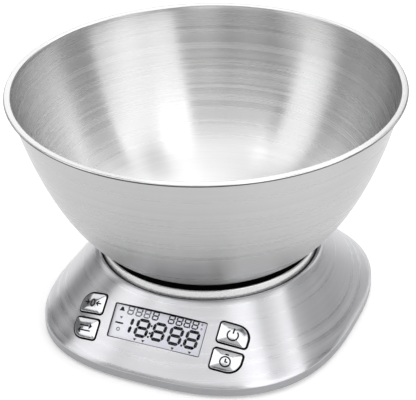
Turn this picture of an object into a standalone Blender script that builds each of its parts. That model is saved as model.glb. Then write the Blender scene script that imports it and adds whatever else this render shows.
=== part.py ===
"""Digital kitchen scale with a lift-off steel bowl.

Metres, +Z up, +X to the user's right, the display faces -Y. The origin is on the
worktop under the bowl's axis. Every sub-part is an object of its own.
"""

from math import acos, cos, pi, radians, sin, sqrt

import bmesh
import bpy
from mathutils import Matrix, Vector

MM = 0.001
GAP = 0.3 * MM                     # clearance between pieces that touch

# Bowl
BOWL_RIM_RADIUS = 108.0 * MM
BOWL_TOP = 137.5 * MM
BOWL_FLOOR = 41.0 * MM             # underside of the flat floor
BOWL_FLOOR_RADIUS = 38.5 * MM
BOWL_WALL_RADIUS = 104.9 * MM      # outside of the wall, just under the lip
BOWL_SHEET = 0.8 * MM
BOWL_LIP_DEPTH = 1.5 * MM
BOWL_LEAN = radians(9.8)           # of the wall from upright, at the lip
BOWL_PARTINGS = (0.0, 0.33, 0.66, 1.0)     # shares of the wall at which its three rings part
BOWL_PARTING_GAP = 0.0005          # the same kind of share
BOWL_RING_STEPS = 3

# Cover: a rounded square at the skirt that rises to a round opening
PLAN_HALF_X = 87.5 * MM
PLAN_HALF_Y = 92.0 * MM
PLAN_POWER = 2.7                   # 2 is an ellipse, higher is squarer
SKIRT_BOTTOM = 2.5 * MM
SKIRT_TOP = 7.5 * MM
DOME_TOP = 41.6 * MM               # where the dome's straight slope would meet the opening
OPENING_RADIUS = 61.6 * MM
OPENING_LIP_RADIUS = 1.1 * MM
COVER_SHEET = 0.6 * MM
COVER_SEGMENTS = 64

# Inner housing, under the cover
FRAME_WALL = 2.0 * MM
FRAME_DROP = 1.7 * MM              # straight down from the cover's outside
FRAME_INSET = 0.95 * MM
FRAME_BOTTOM = 6.3 * MM

# Base plate
PLATE_INSET = 0.95 * MM
PLATE_BOTTOM = 3.0 * MM
PLATE_TOP = 6.0 * MM
FOOT_PLACE = (60.0 * MM, 60.0 * MM)
FOOT_RADIUS = 7.5 * MM
FOOT_TOP = 4.2 * MM
CASE_SCREW_PLACE = (68.0 * MM, 30.0 * MM)

# Platform that carries the bowl
RING_RADIUS = 61.0 * MM
RING_WALL = 1.4 * MM
RING_TOP = 44.9 * MM
RING_BOTTOM = 36.6 * MM
SEAT_TOP = 40.7 * MM
SEAT_BOTTOM = 38.2 * MM
CARRIER_RADIUS = 55.0 * MM
CARRIER_TOP = 37.9 * MM
CARRIER_THICKNESS = 2.7 * MM
PLATFORM_TRAVEL = 0.6 * MM

# Load cell, along X
CELL_LENGTH = 80.0 * MM
CELL_SIDE = 12.7 * MM
CELL_BOTTOM = 10.3 * MM
CELL_SCREWS = (27.0 * MM, 37.0 * MM)
CELL_HOLE_RADIUS = 2.2 * MM
CELL_SCREW_RADIUS = 1.8 * MM

# Display and button panel: local X is world X, local Y runs up the slope, local Z points out
PANEL_CENTRE = (0.0, -72.6 * MM, 24.8 * MM)
PANEL_TILT = radians(44.5)
WINDOW_SIZE = (54.2 * MM, 19.1 * MM)
WINDOW_CORNER = 0.9 * MM
LENS_TOP = -0.15 * MM
LENS_THICKNESS = 1.1 * MM
GLASS_THICKNESS = 2.0 * MM
BOARD_TOP = -12.0 * MM
BOARD_THICKNESS = 1.6 * MM

BUTTON_SIZE = (16.2 * MM, 12.0 * MM)
BUTTON_COLUMN = 41.3 * MM
BUTTON_ROWS = (6.8 * MM, -7.7 * MM)
BUTTON_OUTER_CORNER = 7.0 * MM
BUTTON_CORNER = 1.9 * MM
BUTTON_PROUD = 0.9 * MM
BUTTON_CROWN = 0.7 * MM
BUTTON_SKIRT = 3.4 * MM            # depth of the cap's side, below the cover's surface
BUTTON_CLEARANCE = 0.35 * MM
KEY_SWITCH_TOP = -8.5 * MM
STEM_END = -7.6 * MM

# Battery bay, behind the load cell
BATTERY_ROWS = (32.0 * MM, 43.0 * MM)
BATTERY_RADIUS = 5.2 * MM
BATTERY_HEIGHT = 10.6 * MM
BATTERY_LENGTH = 43.7 * MM
BATTERY_NUB = 0.8 * MM
BAY_CENTRE_Y = 37.5 * MM
BAY_SIZE = (52.6 * MM, 23.0 * MM)
BAY_WALL = 1.4 * MM
BAY_ROOF = 17.5 * MM
DOOR_SIZE = (58.0 * MM, 29.0 * MM)
DOOR_THICKNESS = 1.6 * MM
CONTACT_THICKNESS = 0.4 * MM
SPRING_LENGTH = 5.6 * MM


# ---------------------------------------------------------------- scene and materials

def clear_scene():
    for item in list(bpy.data.objects):
        bpy.data.objects.remove(item, do_unlink=True)


def finish(name, colour, roughness, metallic=0.0, alpha=1.0):
    """Return a Principled material, made once and shared by name."""
    material = bpy.data.materials.get(name)
    if material:
        return material
    material = bpy.data.materials.new(name)
    material.use_nodes = True
    shader = material.node_tree.nodes["Principled BSDF"]
    shader.inputs["Base Color"].default_value = (*colour, 1.0)
    shader.inputs["Roughness"].default_value = roughness
    shader.inputs["Metallic"].default_value = metallic
    shader.inputs["Alpha"].default_value = alpha
    material.diffuse_color = (*colour, alpha)
    return material


def brushed_steel():
    return finish("brushed_steel", (0.62, 0.62, 0.63), 0.32, 1.0)


def satin_steel():
    return finish("satin_steel", (0.68, 0.68, 0.69), 0.22, 1.0)


def chrome():
    return finish("chrome", (0.78, 0.78, 0.78), 0.08, 1.0)


def black_plastic():
    return finish("black_plastic", (0.015, 0.015, 0.016), 0.45)


def grey_plastic():
    return finish("grey_plastic", (0.36, 0.37, 0.38), 0.5)


def aluminium():
    return finish("aluminium", (0.7, 0.71, 0.72), 0.35, 1.0)


def zinc():
    return finish("zinc", (0.55, 0.56, 0.57), 0.35, 1.0)


def rubber():
    return finish("rubber", (0.03, 0.03, 0.03), 0.8)


def silicone():
    return finish("silicone", (0.8, 0.8, 0.76), 0.6)


def board_green():
    return finish("board_green", (0.02, 0.16, 0.06), 0.4)


def clear_lens():
    return finish("clear_lens", (0.85, 0.86, 0.9), 0.05, 0.0, 0.35)


def display_glass():
    return finish("display_glass", (0.6, 0.6, 0.66), 0.25)


def battery_wrap():
    return finish("battery_wrap", (0.1, 0.11, 0.13), 0.35)


def paper_label():
    return finish("paper_label", (0.75, 0.75, 0.74), 0.5)


def wire_sheath(name, colour):
    return finish(name, colour, 0.5)


# ---------------------------------------------------------------- mesh helpers

def put(name, bm, material, location=(0, 0, 0), rotation=(0, 0, 0), parent=None):
    """Turn a bmesh into a named object with outward faces."""
    bmesh.ops.recalc_face_normals(bm, faces=bm.faces)
    mesh = bpy.data.meshes.new(name)
    bm.to_mesh(mesh)
    bm.free()
    mesh.shade_smooth()
    mesh.set_sharp_from_angle(angle=radians(32))
    mesh.materials.append(material)
    item = bpy.data.objects.new(name, mesh)
    item.location = location
    item.rotation_euler = rotation
    item.parent = parent
    bpy.context.scene.collection.objects.link(item)
    return item


def empty(name, location=(0, 0, 0), rotation=(0, 0, 0)):
    item = bpy.data.objects.new(name, None)
    item.location = location
    item.rotation_euler = rotation
    bpy.context.scene.collection.objects.link(item)
    return item


def turned(profile, segments, closed=True):
    """Spin an (r, z) profile about Z; points at r = 0 close on the axis."""
    bm = bmesh.new()
    verts = [bm.verts.new((r, 0.0, z)) for r, z in profile]
    pairs = list(zip(verts, verts[1:]))
    if closed:
        pairs.append((verts[-1], verts[0]))
    edges = [bm.edges.new(pair) for pair in pairs]
    bmesh.ops.spin(bm, geom=verts + edges, cent=(0, 0, 0), axis=(0, 0, 1), angle=2 * pi,
                   steps=segments, use_merge=True)
    bmesh.ops.remove_doubles(bm, verts=bm.verts, dist=1e-6)
    return bm


def prism(outline, low, high):
    """Extrude a flat outline of (x, y) points from z = low to z = high."""
    bm = bmesh.new()
    face = bm.faces.new([bm.verts.new((x, y, low)) for x, y in outline])
    grown = bmesh.ops.extrude_face_region(bm, geom=[face])
    top = [v for v in grown["geom"] if isinstance(v, bmesh.types.BMVert)]
    bmesh.ops.translate(bm, verts=top, vec=(0, 0, high - low))
    return bm


def block(size, centre=(0, 0, 0), bevel=0.0):
    bm = bmesh.new()
    bmesh.ops.create_cube(bm, size=1.0, matrix=Matrix.Translation(centre) @ Matrix.Diagonal((*size, 1.0)))
    if bevel:
        bmesh.ops.bevel(bm, geom=bm.edges, offset=bevel, segments=1, affect="EDGES")
    return bm


def span(low, high, bevel=0.0):
    """A block between two corners."""
    size = [b - a for a, b in zip(low, high)]
    centre = [(a + b) / 2 for a, b in zip(low, high)]
    return block(size, centre, bevel)


def rod(radius, low, high, place=(0.0, 0.0), segments=20):
    """An upright cylinder."""
    bm = bmesh.new()
    centre = (place[0], place[1], (low + high) / 2)
    bmesh.ops.create_cone(bm, cap_ends=True, segments=segments, radius1=radius, radius2=radius,
                          depth=high - low, matrix=Matrix.Translation(centre))
    return bm


def rounded_rectangle(width, height, radii, steps=4):
    """Outline of a rectangle; radii run top-right, top-left, bottom-left, bottom-right."""
    corners = ((1, 1, 0), (-1, 1, 90), (-1, -1, 180), (1, -1, 270))
    points = []
    for (sx, sy, start), radius in zip(corners, radii):
        centre = (sx * (width / 2 - radius), sy * (height / 2 - radius))
        for step in range(steps + 1):
            angle = radians(start + 90 * step / steps)
            points.append((centre[0] + radius * cos(angle), centre[1] + radius * sin(angle)))
    return points


def shape(target, operation, name, bm, location=(0, 0, 0), rotation=(0, 0, 0), parent=None):
    """Cut or join a hidden helper solid into the target with a Boolean modifier."""
    helper = put(f"{target.name}.{name}", bm, target.data.materials[0], location, rotation, parent)
    helper.hide_render = True
    helper.display_type = "WIRE"
    modifier = target.modifiers.new(name, "BOOLEAN")
    modifier.operation = operation
    modifier.object = helper


def cut(target, name, bm, **place):
    shape(target, "DIFFERENCE", name, bm, **place)


def join(target, name, bm, **place):
    shape(target, "UNION", name, bm, **place)


def tube(name, points, radius, material, resolution=2):
    """A cable or wire along a smooth curve through the points."""
    curve = bpy.data.curves.new(name, "CURVE")
    curve.dimensions = "3D"
    curve.bevel_depth = radius
    curve.bevel_resolution = resolution
    curve.use_fill_caps = True
    line = curve.splines.new("POLY")
    line.points.add(len(points) - 1)
    for point, place in zip(line.points, points):
        point.co = (*place, 1.0)
    curve.materials.append(material)
    item = bpy.data.objects.new(name, curve)
    bpy.context.scene.collection.objects.link(item)
    return item


def smooth_route(guides, steps=4):
    """Catmull-Rom points through the guide points."""
    guides = [Vector(guide) for guide in guides]
    ends = [guides[0] * 2 - guides[1], *guides, guides[-1] * 2 - guides[-2]]
    points = []
    for a, b, c, d in zip(ends, ends[1:], ends[2:], ends[3:]):
        for step in range(steps):
            t = step / steps
            points.append(0.5 * (2 * b + (c - a) * t + (2 * a - 5 * b + 4 * c - d) * t ** 2
                                 + (3 * b - a - 3 * c + d) * t ** 3))
    return [*points, guides[-1]]


# ---------------------------------------------------------------- cover geometry

def plan_radius(angle):
    """Distance from the axis to the skirt at a polar angle."""
    across = abs(cos(angle) / PLAN_HALF_X) ** PLAN_POWER
    along = abs(sin(angle) / PLAN_HALF_Y) ** PLAN_POWER
    return (across + along) ** (-1 / PLAN_POWER)


def blend_radius(angle, rise):
    """Distance from the axis to the cover, from skirt (rise 0) to opening (rise 1)."""
    return (1 - rise) * plan_radius(angle) + rise * OPENING_RADIUS


def dome_height(rise):
    return SKIRT_TOP + (DOME_TOP - SKIRT_TOP) * rise


def loft(rows, segments=COVER_SEGMENTS):
    """Join rows of (rise, inset, height) into an open surface round the axis."""
    bm = bmesh.new()
    loops = []
    for rise, inset, height in rows:
        loop = []
        for index in range(segments):
            angle = 2 * pi * index / segments
            radius = blend_radius(angle, rise) - inset
            loop.append(bm.verts.new((radius * cos(angle), radius * sin(angle), height)))
        loops.append([bm.edges.new((loop[i], loop[(i + 1) % segments])) for i in range(segments)])
    for lower, upper in zip(loops, loops[1:]):
        bmesh.ops.bridge_loops(bm, edges=lower + upper)
    return bm


def cover_above_panel(u, v):
    """Height of the cover over the panel plane at panel place (u, v)."""
    low, high = -30 * MM, 12 * MM
    for _ in range(40):
        middle = (low + high) / 2
        place = Vector(PANEL_CENTRE) + Matrix.Rotation(PANEL_TILT, 3, "X") @ Vector((u, v, middle))
        spread = sqrt(place.x ** 2 + place.y ** 2)
        angle = acos(place.x / spread)
        rise = (place.z - SKIRT_TOP) / (DOME_TOP - SKIRT_TOP)
        inside = spread < blend_radius(angle, rise)
        low, high = (middle, high) if inside else (low, middle)
    return low


def plan_outline(inset, segments=COVER_SEGMENTS):
    points = []
    for index in range(segments):
        angle = 2 * pi * index / segments
        radius = plan_radius(angle) - inset
        points.append((radius * cos(angle), radius * sin(angle)))
    return points


# ---------------------------------------------------------------- bowl and platform

def bowl_wall(first, last, inset=0.0):
    """Points of the bowl's wall between two shares of it, offset inwards."""
    start = Vector((BOWL_FLOOR_RADIUS, BOWL_FLOOR))
    end = Vector((BOWL_WALL_RADIUS, BOWL_TOP - BOWL_LIP_DEPTH - 0.6 * MM))
    handle_1 = start + Vector((43.0 * MM, 0.0))
    handle_2 = end - 14.3 * MM * Vector((sin(BOWL_LEAN), cos(BOWL_LEAN)))
    points = []
    for step in range(BOWL_RING_STEPS + 1):
        t = first + (last - first) * step / BOWL_RING_STEPS
        s = 1 - t
        place = s ** 3 * start + 3 * s * s * t * handle_1 + 3 * s * t * t * handle_2 + t ** 3 * end
        along = (s * s * (handle_1 - start) + 2 * s * t * (handle_2 - handle_1)
                 + t * t * (end - handle_2)).normalized()
        points.append(place + inset * Vector((-along.y, along.x)))
    return [tuple(point) for point in points]


def bowl():
    """The bowl's one shell, parted into a dish, a wall and a rim so that each is a simple shape."""
    lip_under = BOWL_TOP - BOWL_LIP_DEPTH
    rim = BOWL_RIM_RADIUS
    lip = [(BOWL_WALL_RADIUS + 0.5 * MM, lip_under), (rim - 0.4 * MM, lip_under),
           (rim, lip_under + 0.4 * MM), (rim, BOWL_TOP - 0.4 * MM), (rim - 0.4 * MM, BOWL_TOP),
           (BOWL_WALL_RADIUS + 0.2 * MM, BOWL_TOP), (BOWL_WALL_RADIUS - 0.5 * MM, BOWL_TOP - 0.5 * MM)]
    foot, low, high, top = BOWL_PARTINGS
    low_start, high_start = low + BOWL_PARTING_GAP, high + BOWL_PARTING_GAP
    dish = [(0.0, BOWL_FLOOR), *bowl_wall(foot, low), *reversed(bowl_wall(foot, low, BOWL_SHEET)),
            (0.0, BOWL_FLOOR + BOWL_SHEET)]
    wall = [*bowl_wall(low_start, high), *reversed(bowl_wall(low_start, high, BOWL_SHEET))]
    edge = [*bowl_wall(high_start, top), *lip, *reversed(bowl_wall(high_start, top, BOWL_SHEET))]
    put("bowl_dish", turned(dish, 48, closed=False), brushed_steel())
    put("bowl_wall", turned(wall, 48), brushed_steel())
    put("bowl_rim", turned(edge, 48), brushed_steel())


def platform_ring():
    outer, inner = RING_RADIUS, RING_RADIUS - RING_WALL
    profile = [(outer, RING_BOTTOM), (outer, RING_TOP - 0.5 * MM), (outer - 0.2 * MM, RING_TOP - 0.15 * MM),
               (outer - 0.6 * MM, RING_TOP), (outer - 1.1 * MM, RING_TOP - 0.15 * MM),
               (inner, RING_TOP - 0.6 * MM), (inner, RING_BOTTOM)]
    put("platform_ring", turned(profile, 48), satin_steel())


def platform_seat():
    edge = RING_RADIUS - RING_WALL - GAP
    profile = [(0.0, SEAT_BOTTOM), (edge, SEAT_BOTTOM), (edge, 43.2 * MM), (edge - 0.8 * MM, 43.2 * MM),
               (55.0 * MM, 41.0 * MM), (52.0 * MM, SEAT_TOP), (0.0, SEAT_TOP)]
    put("platform_seat", turned(profile, 40, closed=False), black_plastic())


def platform_carrier():
    underside = CARRIER_TOP - CARRIER_THICKNESS
    carrier = put("platform_carrier", rod(CARRIER_RADIUS, underside, CARRIER_TOP, segments=40), black_plastic())
    hub_low = CELL_BOTTOM + CELL_SIDE + PLATFORM_TRAVEL + 0.1 * MM
    hub_x = sum(CELL_SCREWS) / 2
    join(carrier, "hub", span((hub_x - 11 * MM, -7 * MM, hub_low), (hub_x + 11 * MM, 7 * MM, underside + MM)))
    join(carrier, "rib_x", span((-50 * MM, -1.2 * MM, 29 * MM), (50 * MM, 1.2 * MM, underside + 0.8 * MM)))
    join(carrier, "rib_y", span((-1.2 * MM, -50 * MM, 29 * MM), (1.2 * MM, 50 * MM, underside + 0.9 * MM)))
    for index, x in enumerate(CELL_SCREWS, 1):
        cut(carrier, f"head_well_{index}", rod(3.6 * MM, 29 * MM, CARRIER_TOP + MM, (x, 0.0)))
        cut(carrier, f"shank_hole_{index}", rod(CELL_HOLE_RADIUS, hub_low - MM, 30 * MM, (x, 0.0)))
        put(f"platform_screw_{index}", screw(16.0 * MM, 29.3 * MM, 32.0 * MM, x, head_up=True), zinc())


def screw(tip, head_low, head_high, x, y=0.0, head_up=False, shank=CELL_SCREW_RADIUS, head=2.9 * MM):
    """An upright pan-head screw as a turned solid; head_up puts the head above the shank."""
    if head_up:
        profile = [(0.0, tip), (shank, tip + 0.8 * MM), (shank, head_low), (head, head_low),
                   (head, head_high - 0.6 * MM), (head - 0.7 * MM, head_high), (0.0, head_high)]
    else:
        profile = [(0.0, head_low), (head - 0.7 * MM, head_low), (head, head_low + 0.6 * MM), (head, head_high),
                   (shank, head_high), (shank, tip - 0.8 * MM), (0.0, tip)]
    bm = turned(profile, 12, closed=False)
    bmesh.ops.translate(bm, verts=bm.verts, vec=(x, y, 0.0))
    return bm


# ---------------------------------------------------------------- load cell

def load_cell():
    top = CELL_BOTTOM + CELL_SIDE
    middle = (CELL_BOTTOM + top) / 2
    half = CELL_SIDE / 2
    beam = put("load_cell_beam", span((-CELL_LENGTH / 2, -half, CELL_BOTTOM), (CELL_LENGTH / 2, half, top)),
               aluminium())
    for index, x in enumerate([sign * place for sign in (-1, 1) for place in CELL_SCREWS], 1):
        cut(beam, f"screw_hole_{index}", rod(CELL_HOLE_RADIUS, 0.0, top + MM, (x, 0.0)))
    for index, x in enumerate((-7 * MM, 7 * MM), 1):
        cut(beam, f"flexure_bore_{index}", rod(4.6 * MM, -10 * MM, 10 * MM, segments=24),
            location=(x, 0.0, middle), rotation=(pi / 2, 0.0, 0.0))
    cut(beam, "flexure_slot", block((14 * MM, 20 * MM, 3 * MM)), location=(0.0, 0.0, middle))
    put("strain_gauge_cover_top", span((-13 * MM, -5 * MM, top + GAP), (13 * MM, 5 * MM, top + 1.6 * MM), 0.5 * MM),
        silicone())
    put("strain_gauge_cover_bottom", span((-13 * MM, -5 * MM, CELL_BOTTOM - 1.6 * MM),
                                          (13 * MM, 5 * MM, CELL_BOTTOM - GAP), 0.5 * MM), silicone())
    for index, x in enumerate(CELL_SCREWS, 1):
        put(f"load_cell_screw_{index}", screw(20 * MM, 3.7 * MM, 6.2 * MM, -x), zinc())


# ---------------------------------------------------------------- housing

def opening_lip_rows():
    """Rows that roll the cover's edge over into the opening."""
    centre = (OPENING_RADIUS - 0.1 * MM + OPENING_LIP_RADIUS, dome_height(0.93) - 0.35 * MM)
    rows = []
    for turn in (60, 115, 180):
        radius = centre[0] + OPENING_LIP_RADIUS * cos(radians(turn))
        rows.append((1.0, OPENING_RADIUS - radius, centre[1] + OPENING_LIP_RADIUS * sin(radians(turn))))
    rows.append((1.0, rows[-1][1], centre[1] - 1.5 * MM))
    return rows


def top_cover(panel):
    slope = [(rise, 0.0, dome_height(rise)) for rise in (0.012, 0.47, 0.93)]
    rows = [(0.0, 0.0, SKIRT_BOTTOM), (0.0, 0.0, SKIRT_TOP - 0.5 * MM), *slope, *opening_lip_rows()]
    cover = put("top_cover", loft(rows), brushed_steel())
    sheet = cover.modifiers.new("sheet", "SOLIDIFY")
    sheet.thickness = COVER_SHEET
    sheet.offset = -1.0
    cut(cover, "window", prism(rounded_rectangle(*WINDOW_SIZE, [WINDOW_CORNER] * 4), -8 * MM, 8 * MM), parent=panel)
    for name, (u, v), outline in button_layout(BUTTON_CLEARANCE):
        cut(cover, name, prism(outline, -12 * MM, 8 * MM), location=(u, v, 0.0), parent=panel)


def cover_frame(panel):
    rows = [(0.0, FRAME_INSET, FRAME_BOTTOM), (0.0, FRAME_INSET, FRAME_BOTTOM + 0.7 * MM)]
    rows += [(rise, 0.0, dome_height(rise) - FRAME_DROP) for rise in (0.06, 0.48, 0.9)]
    frame = put("cover_frame", loft(rows, 40), black_plastic())
    wall = frame.modifiers.new("wall", "SOLIDIFY")
    wall.thickness = FRAME_WALL
    wall.offset = -1.0
    for index, (x, y) in enumerate(four_places(CASE_SCREW_PLACE), 1):
        join(frame, f"boss_{index}", rod(3.6 * MM, FRAME_BOTTOM, 21 * MM, (x, y), 12))
        cut(frame, f"boss_bore_{index}", rod(1.75 * MM, 0.0, 14 * MM, (x, y), 10))
    width, height = WINDOW_SIZE
    cut(frame, "window", block((width + 5.2 * MM, height + 5.2 * MM, 20 * MM)), parent=panel)
    for name, (u, v), outline in button_layout(BUTTON_CLEARANCE + 0.2 * MM):
        cut(frame, name, prism(outline, -16 * MM, 8 * MM), location=(u, v, 0.0), parent=panel)


def four_places(place):
    x, y = place
    return [(x, y), (-x, y), (-x, -y), (x, -y)]


def base_plate():
    plate = put("base_plate", prism(plan_outline(PLATE_INSET), PLATE_BOTTOM, PLATE_TOP), grey_plastic())
    join(plate, "cell_pad", span((-44 * MM, -8 * MM, PLATE_TOP - MM), (-21 * MM, 8 * MM, CELL_BOTTOM - GAP)))
    join(plate, "overload_stop", span((24 * MM, -6 * MM, PLATE_TOP - MM), (40 * MM, 6 * MM, 9 * MM)))
    for index, (x, y) in enumerate(four_places(FOOT_PLACE), 1):
        cut(plate, f"foot_pocket_{index}", rod(FOOT_RADIUS + 2 * GAP, 0.0, FOOT_TOP + GAP, (x, y), 20))
    for index, (x, y) in enumerate(four_places(CASE_SCREW_PLACE), 1):
        cut(plate, f"screw_well_{index}", rod(3.1 * MM, 0.0, 4.7 * MM, (x, y), 16))
        cut(plate, f"screw_hole_{index}", rod(1.7 * MM, 4 * MM, 8 * MM, (x, y), 12))
    for index, x in enumerate(CELL_SCREWS, 1):
        cut(plate, f"cell_well_{index}", rod(3.3 * MM, 0.0, 6.5 * MM, (-x, 0.0), 16))
        cut(plate, f"cell_hole_{index}", rod(CELL_HOLE_RADIUS, 6 * MM, 12 * MM, (-x, 0.0), 16))
    cut(plate, "battery_hole", block((*BAY_SIZE, 20 * MM)), location=(0.0, BAY_CENTRE_Y, 0.0))
    rebate = (DOOR_SIZE[0] + 2 * GAP, DOOR_SIZE[1] + 2 * GAP, 4.0 * MM)
    cut(plate, "door_rebate", block(rebate), location=(0.0, BAY_CENTRE_Y, PLATE_BOTTOM + DOOR_THICKNESS + GAP - 2 * MM))
    cut(plate, "finger_notch", rod(6 * MM, 0.0, 4.4 * MM, (0.0, BAY_CENTRE_Y + DOOR_SIZE[1] / 2 + 2 * MM), 20))


def case_screws():
    for index, (x, y) in enumerate(four_places(CASE_SCREW_PLACE), 1):
        bm = screw(12.5 * MM, 3.1 * MM, 4.4 * MM, x, y, shank=1.35 * MM, head=2.7 * MM)
        put(f"case_screw_{index}", bm, zinc())


def feet():
    for index, (x, y) in enumerate(four_places(FOOT_PLACE), 1):
        profile = [(0.0, 0.0), (FOOT_RADIUS - 1.0 * MM, 0.0), (FOOT_RADIUS, 1.0 * MM), (FOOT_RADIUS, FOOT_TOP),
                   (0.0, FOOT_TOP)]
        put(f"foot_{index}", turned(profile, 20, closed=False), rubber(), location=(x, y, 0.0))


def rating_label():
    put("rating_label", span((-30 * MM, -52 * MM, PLATE_BOTTOM - 0.5 * MM), (30 * MM, -24 * MM, PLATE_BOTTOM - 0.3 * MM)),
        paper_label())


# ---------------------------------------------------------------- display and buttons

def button_layout(clearance=0.0):
    """Name, panel place and outline of each button; the big corner is the outer one."""
    width, height = (side + 2 * clearance for side in BUTTON_SIZE)
    small, big = BUTTON_CORNER + clearance, BUTTON_OUTER_CORNER + clearance
    top, bottom = BUTTON_ROWS
    layout = (("button_tare", -BUTTON_COLUMN, top, 1), ("button_unit", -BUTTON_COLUMN, bottom, 2),
              ("button_power", BUTTON_COLUMN, top, 0), ("button_timer", BUTTON_COLUMN, bottom, 3))
    for name, u, v, outer in layout:
        radii = [big if corner == outer else small for corner in range(4)]
        yield name, (u, v), rounded_rectangle(width, height, radii, 4)


def button(name, place, outline, panel):
    """A crowned cap that follows the cover's surface, with a stem to its key switch."""
    u, v = place
    rings = ((1.0, -BUTTON_SKIRT), (1.0, BUTTON_PROUD - 0.5 * MM), (0.97, BUTTON_PROUD - 0.1 * MM),
             (0.9, BUTTON_PROUD + 0.2 * BUTTON_CROWN), (0.6, BUTTON_PROUD + 0.75 * BUTTON_CROWN))
    bm = bmesh.new()
    loops = []
    for scale, lift in rings:
        points = [(x * scale, y * scale) for x, y in outline]
        verts = [bm.verts.new((x, y, cover_above_panel(u + x, v + y) + lift)) for x, y in points]
        loops.append(verts)
    for lower, upper in zip(loops, loops[1:]):
        for i in range(len(lower)):
            j = (i + 1) % len(lower)
            bm.faces.new((lower[i], lower[j], upper[j], upper[i]))
    for loop, lift in ((loops[-1], BUTTON_PROUD + BUTTON_CROWN), (loops[0], -BUTTON_SKIRT)):
        centre = bm.verts.new((0.0, 0.0, cover_above_panel(u, v) + lift))
        for i in range(len(loop)):
            bm.faces.new((loop[i], loop[(i + 1) % len(loop)], centre))
    cap = put(name, bm, chrome(), location=(u, v, 0.0), parent=panel)
    join(cap, "stem", rod(1.6 * MM, STEM_END, cover_above_panel(u, v) - 1.5 * MM, segments=12),
         location=(u, v, 0.0), parent=panel)


def key_switch(name, place, panel):
    switch = put(name, block((6 * MM, 6 * MM, 2.4 * MM), (0, 0, BOARD_TOP + GAP + 1.2 * MM)), black_plastic(),
                 location=(*place, 0.0), parent=panel)
    join(switch, "plunger", rod(1.7 * MM, BOARD_TOP + 2 * MM, KEY_SWITCH_TOP, segments=12),
         location=(*place, 0.0), parent=panel)


def display(panel):
    width, height = WINDOW_SIZE
    outline = rounded_rectangle(width - 2 * GAP, height - 2 * GAP, [WINDOW_CORNER] * 4, 3)
    lens_bottom = LENS_TOP - LENS_THICKNESS
    put("display_lens", prism(outline, lens_bottom, LENS_TOP), clear_lens(), parent=panel)
    glass_top = lens_bottom - GAP
    glass_bottom = glass_top - GLASS_THICKNESS
    put("display_glass", prism(outline, glass_bottom, glass_top), display_glass(), parent=panel)
    bezel(panel, glass_bottom)
    strip_high = glass_bottom - GAP
    put("display_connector", span((-24 * MM, -6.9 * MM, BOARD_TOP + GAP), (24 * MM, -5.1 * MM, strip_high)),
        silicone(), parent=panel)


def bezel(panel, glass_bottom):
    """Square collar round the display, trimmed to the underside of the curved cover."""
    width, height = WINDOW_SIZE
    low = glass_bottom - 2.0 * MM
    collar = put("display_bezel", block((width + 4.4 * MM, height + 4.4 * MM, 10 * MM), (0, 0, low + 5 * MM)),
                 black_plastic(), parent=panel)
    cut(collar, "well", block((width, height, 20 * MM), (0, 0, glass_bottom - GAP + 10 * MM)), parent=panel)
    cut(collar, "back_window", block((50 * MM, 15.2 * MM, 20 * MM)), parent=panel)
    rows = [(0.0, FRAME_INSET, 0.0)]
    rows += [(rise, 0.0, dome_height(rise) - 1.35 * MM) for rise in (0.06, 0.5, 1.0)]
    envelope = loft(rows, 48)
    ends = [edge for edge in envelope.edges if edge.is_boundary]
    bmesh.ops.holes_fill(envelope, edges=ends)
    shape(collar, "INTERSECT", "under_cover", envelope)


def electronics(panel):
    board = put("main_board", block((92 * MM, 23 * MM, BOARD_THICKNESS), (0, 0.5 * MM, BOARD_TOP - BOARD_THICKNESS / 2)),
                board_green(), parent=panel)
    for index, u in enumerate((-30 * MM, 30 * MM), 1):
        cut(board, f"fixing_hole_{index}", rod(1.6 * MM, BOARD_TOP - 5 * MM, BOARD_TOP + MM, segments=12),
            location=(u, 8 * MM, 0.0), parent=panel)
    put("controller_chip", rod(5 * MM, BOARD_TOP + GAP, BOARD_TOP + 1.4 * MM, (0.0, 4 * MM), 24), black_plastic(),
        parent=panel)
    under = BOARD_TOP - BOARD_THICKNESS
    put("alarm_buzzer", rod(4.5 * MM, under - 4.5 * MM, under - GAP, (-20 * MM, 5 * MM), 24), black_plastic(),
        parent=panel)
    put("wire_socket", block((9 * MM, 5 * MM, 4 * MM), (18 * MM, 5 * MM, under - GAP - 2 * MM)), silicone(),
        parent=panel)


# ---------------------------------------------------------------- battery bay and wiring

def battery_box():
    width, depth = BAY_SIZE
    centre = (0.0, BAY_CENTRE_Y)
    low = PLATE_TOP + GAP
    box = put("battery_box", span((-width / 2 - BAY_WALL, centre[1] - depth / 2 - BAY_WALL, low),
                                  (width / 2 + BAY_WALL, centre[1] + depth / 2 + BAY_WALL, BAY_ROOF), 0.5 * MM),
              black_plastic())
    cut(box, "hollow", span((-width / 2, centre[1] - depth / 2, 0.0),
                            (width / 2, centre[1] + depth / 2, BAY_ROOF - BAY_WALL)))


def battery(name, y, direction):
    """A cell along X; direction is +1 where its raised terminal is at +X."""
    start = -BAY_SIZE[0] / 2 + 2 * GAP + CONTACT_THICKNESS + SPRING_LENGTH + 2 * GAP
    profile = [(0.0, 0.0), (BATTERY_RADIUS - 0.4 * MM, 0.0), (BATTERY_RADIUS, 0.4 * MM),
               (BATTERY_RADIUS, BATTERY_LENGTH - 0.4 * MM), (BATTERY_RADIUS - 0.4 * MM, BATTERY_LENGTH),
               (1.9 * MM, BATTERY_LENGTH), (1.9 * MM, BATTERY_LENGTH + BATTERY_NUB),
               (0.0, BATTERY_LENGTH + BATTERY_NUB)]
    put(name, turned(profile, 20, closed=False), battery_wrap(),
        location=(start * direction, y, BATTERY_HEIGHT), rotation=(0.0, direction * pi / 2, 0.0))


def contact(name, y, side):
    """A flat spring-steel plate on the bay's end wall."""
    far = side * (BAY_SIZE[0] / 2 - GAP)
    near = far - side * CONTACT_THICKNESS
    put(name, span((min(far, near), y - 4 * MM, 6.4 * MM), (max(far, near), y + 4 * MM, 14.6 * MM)), zinc())


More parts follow.
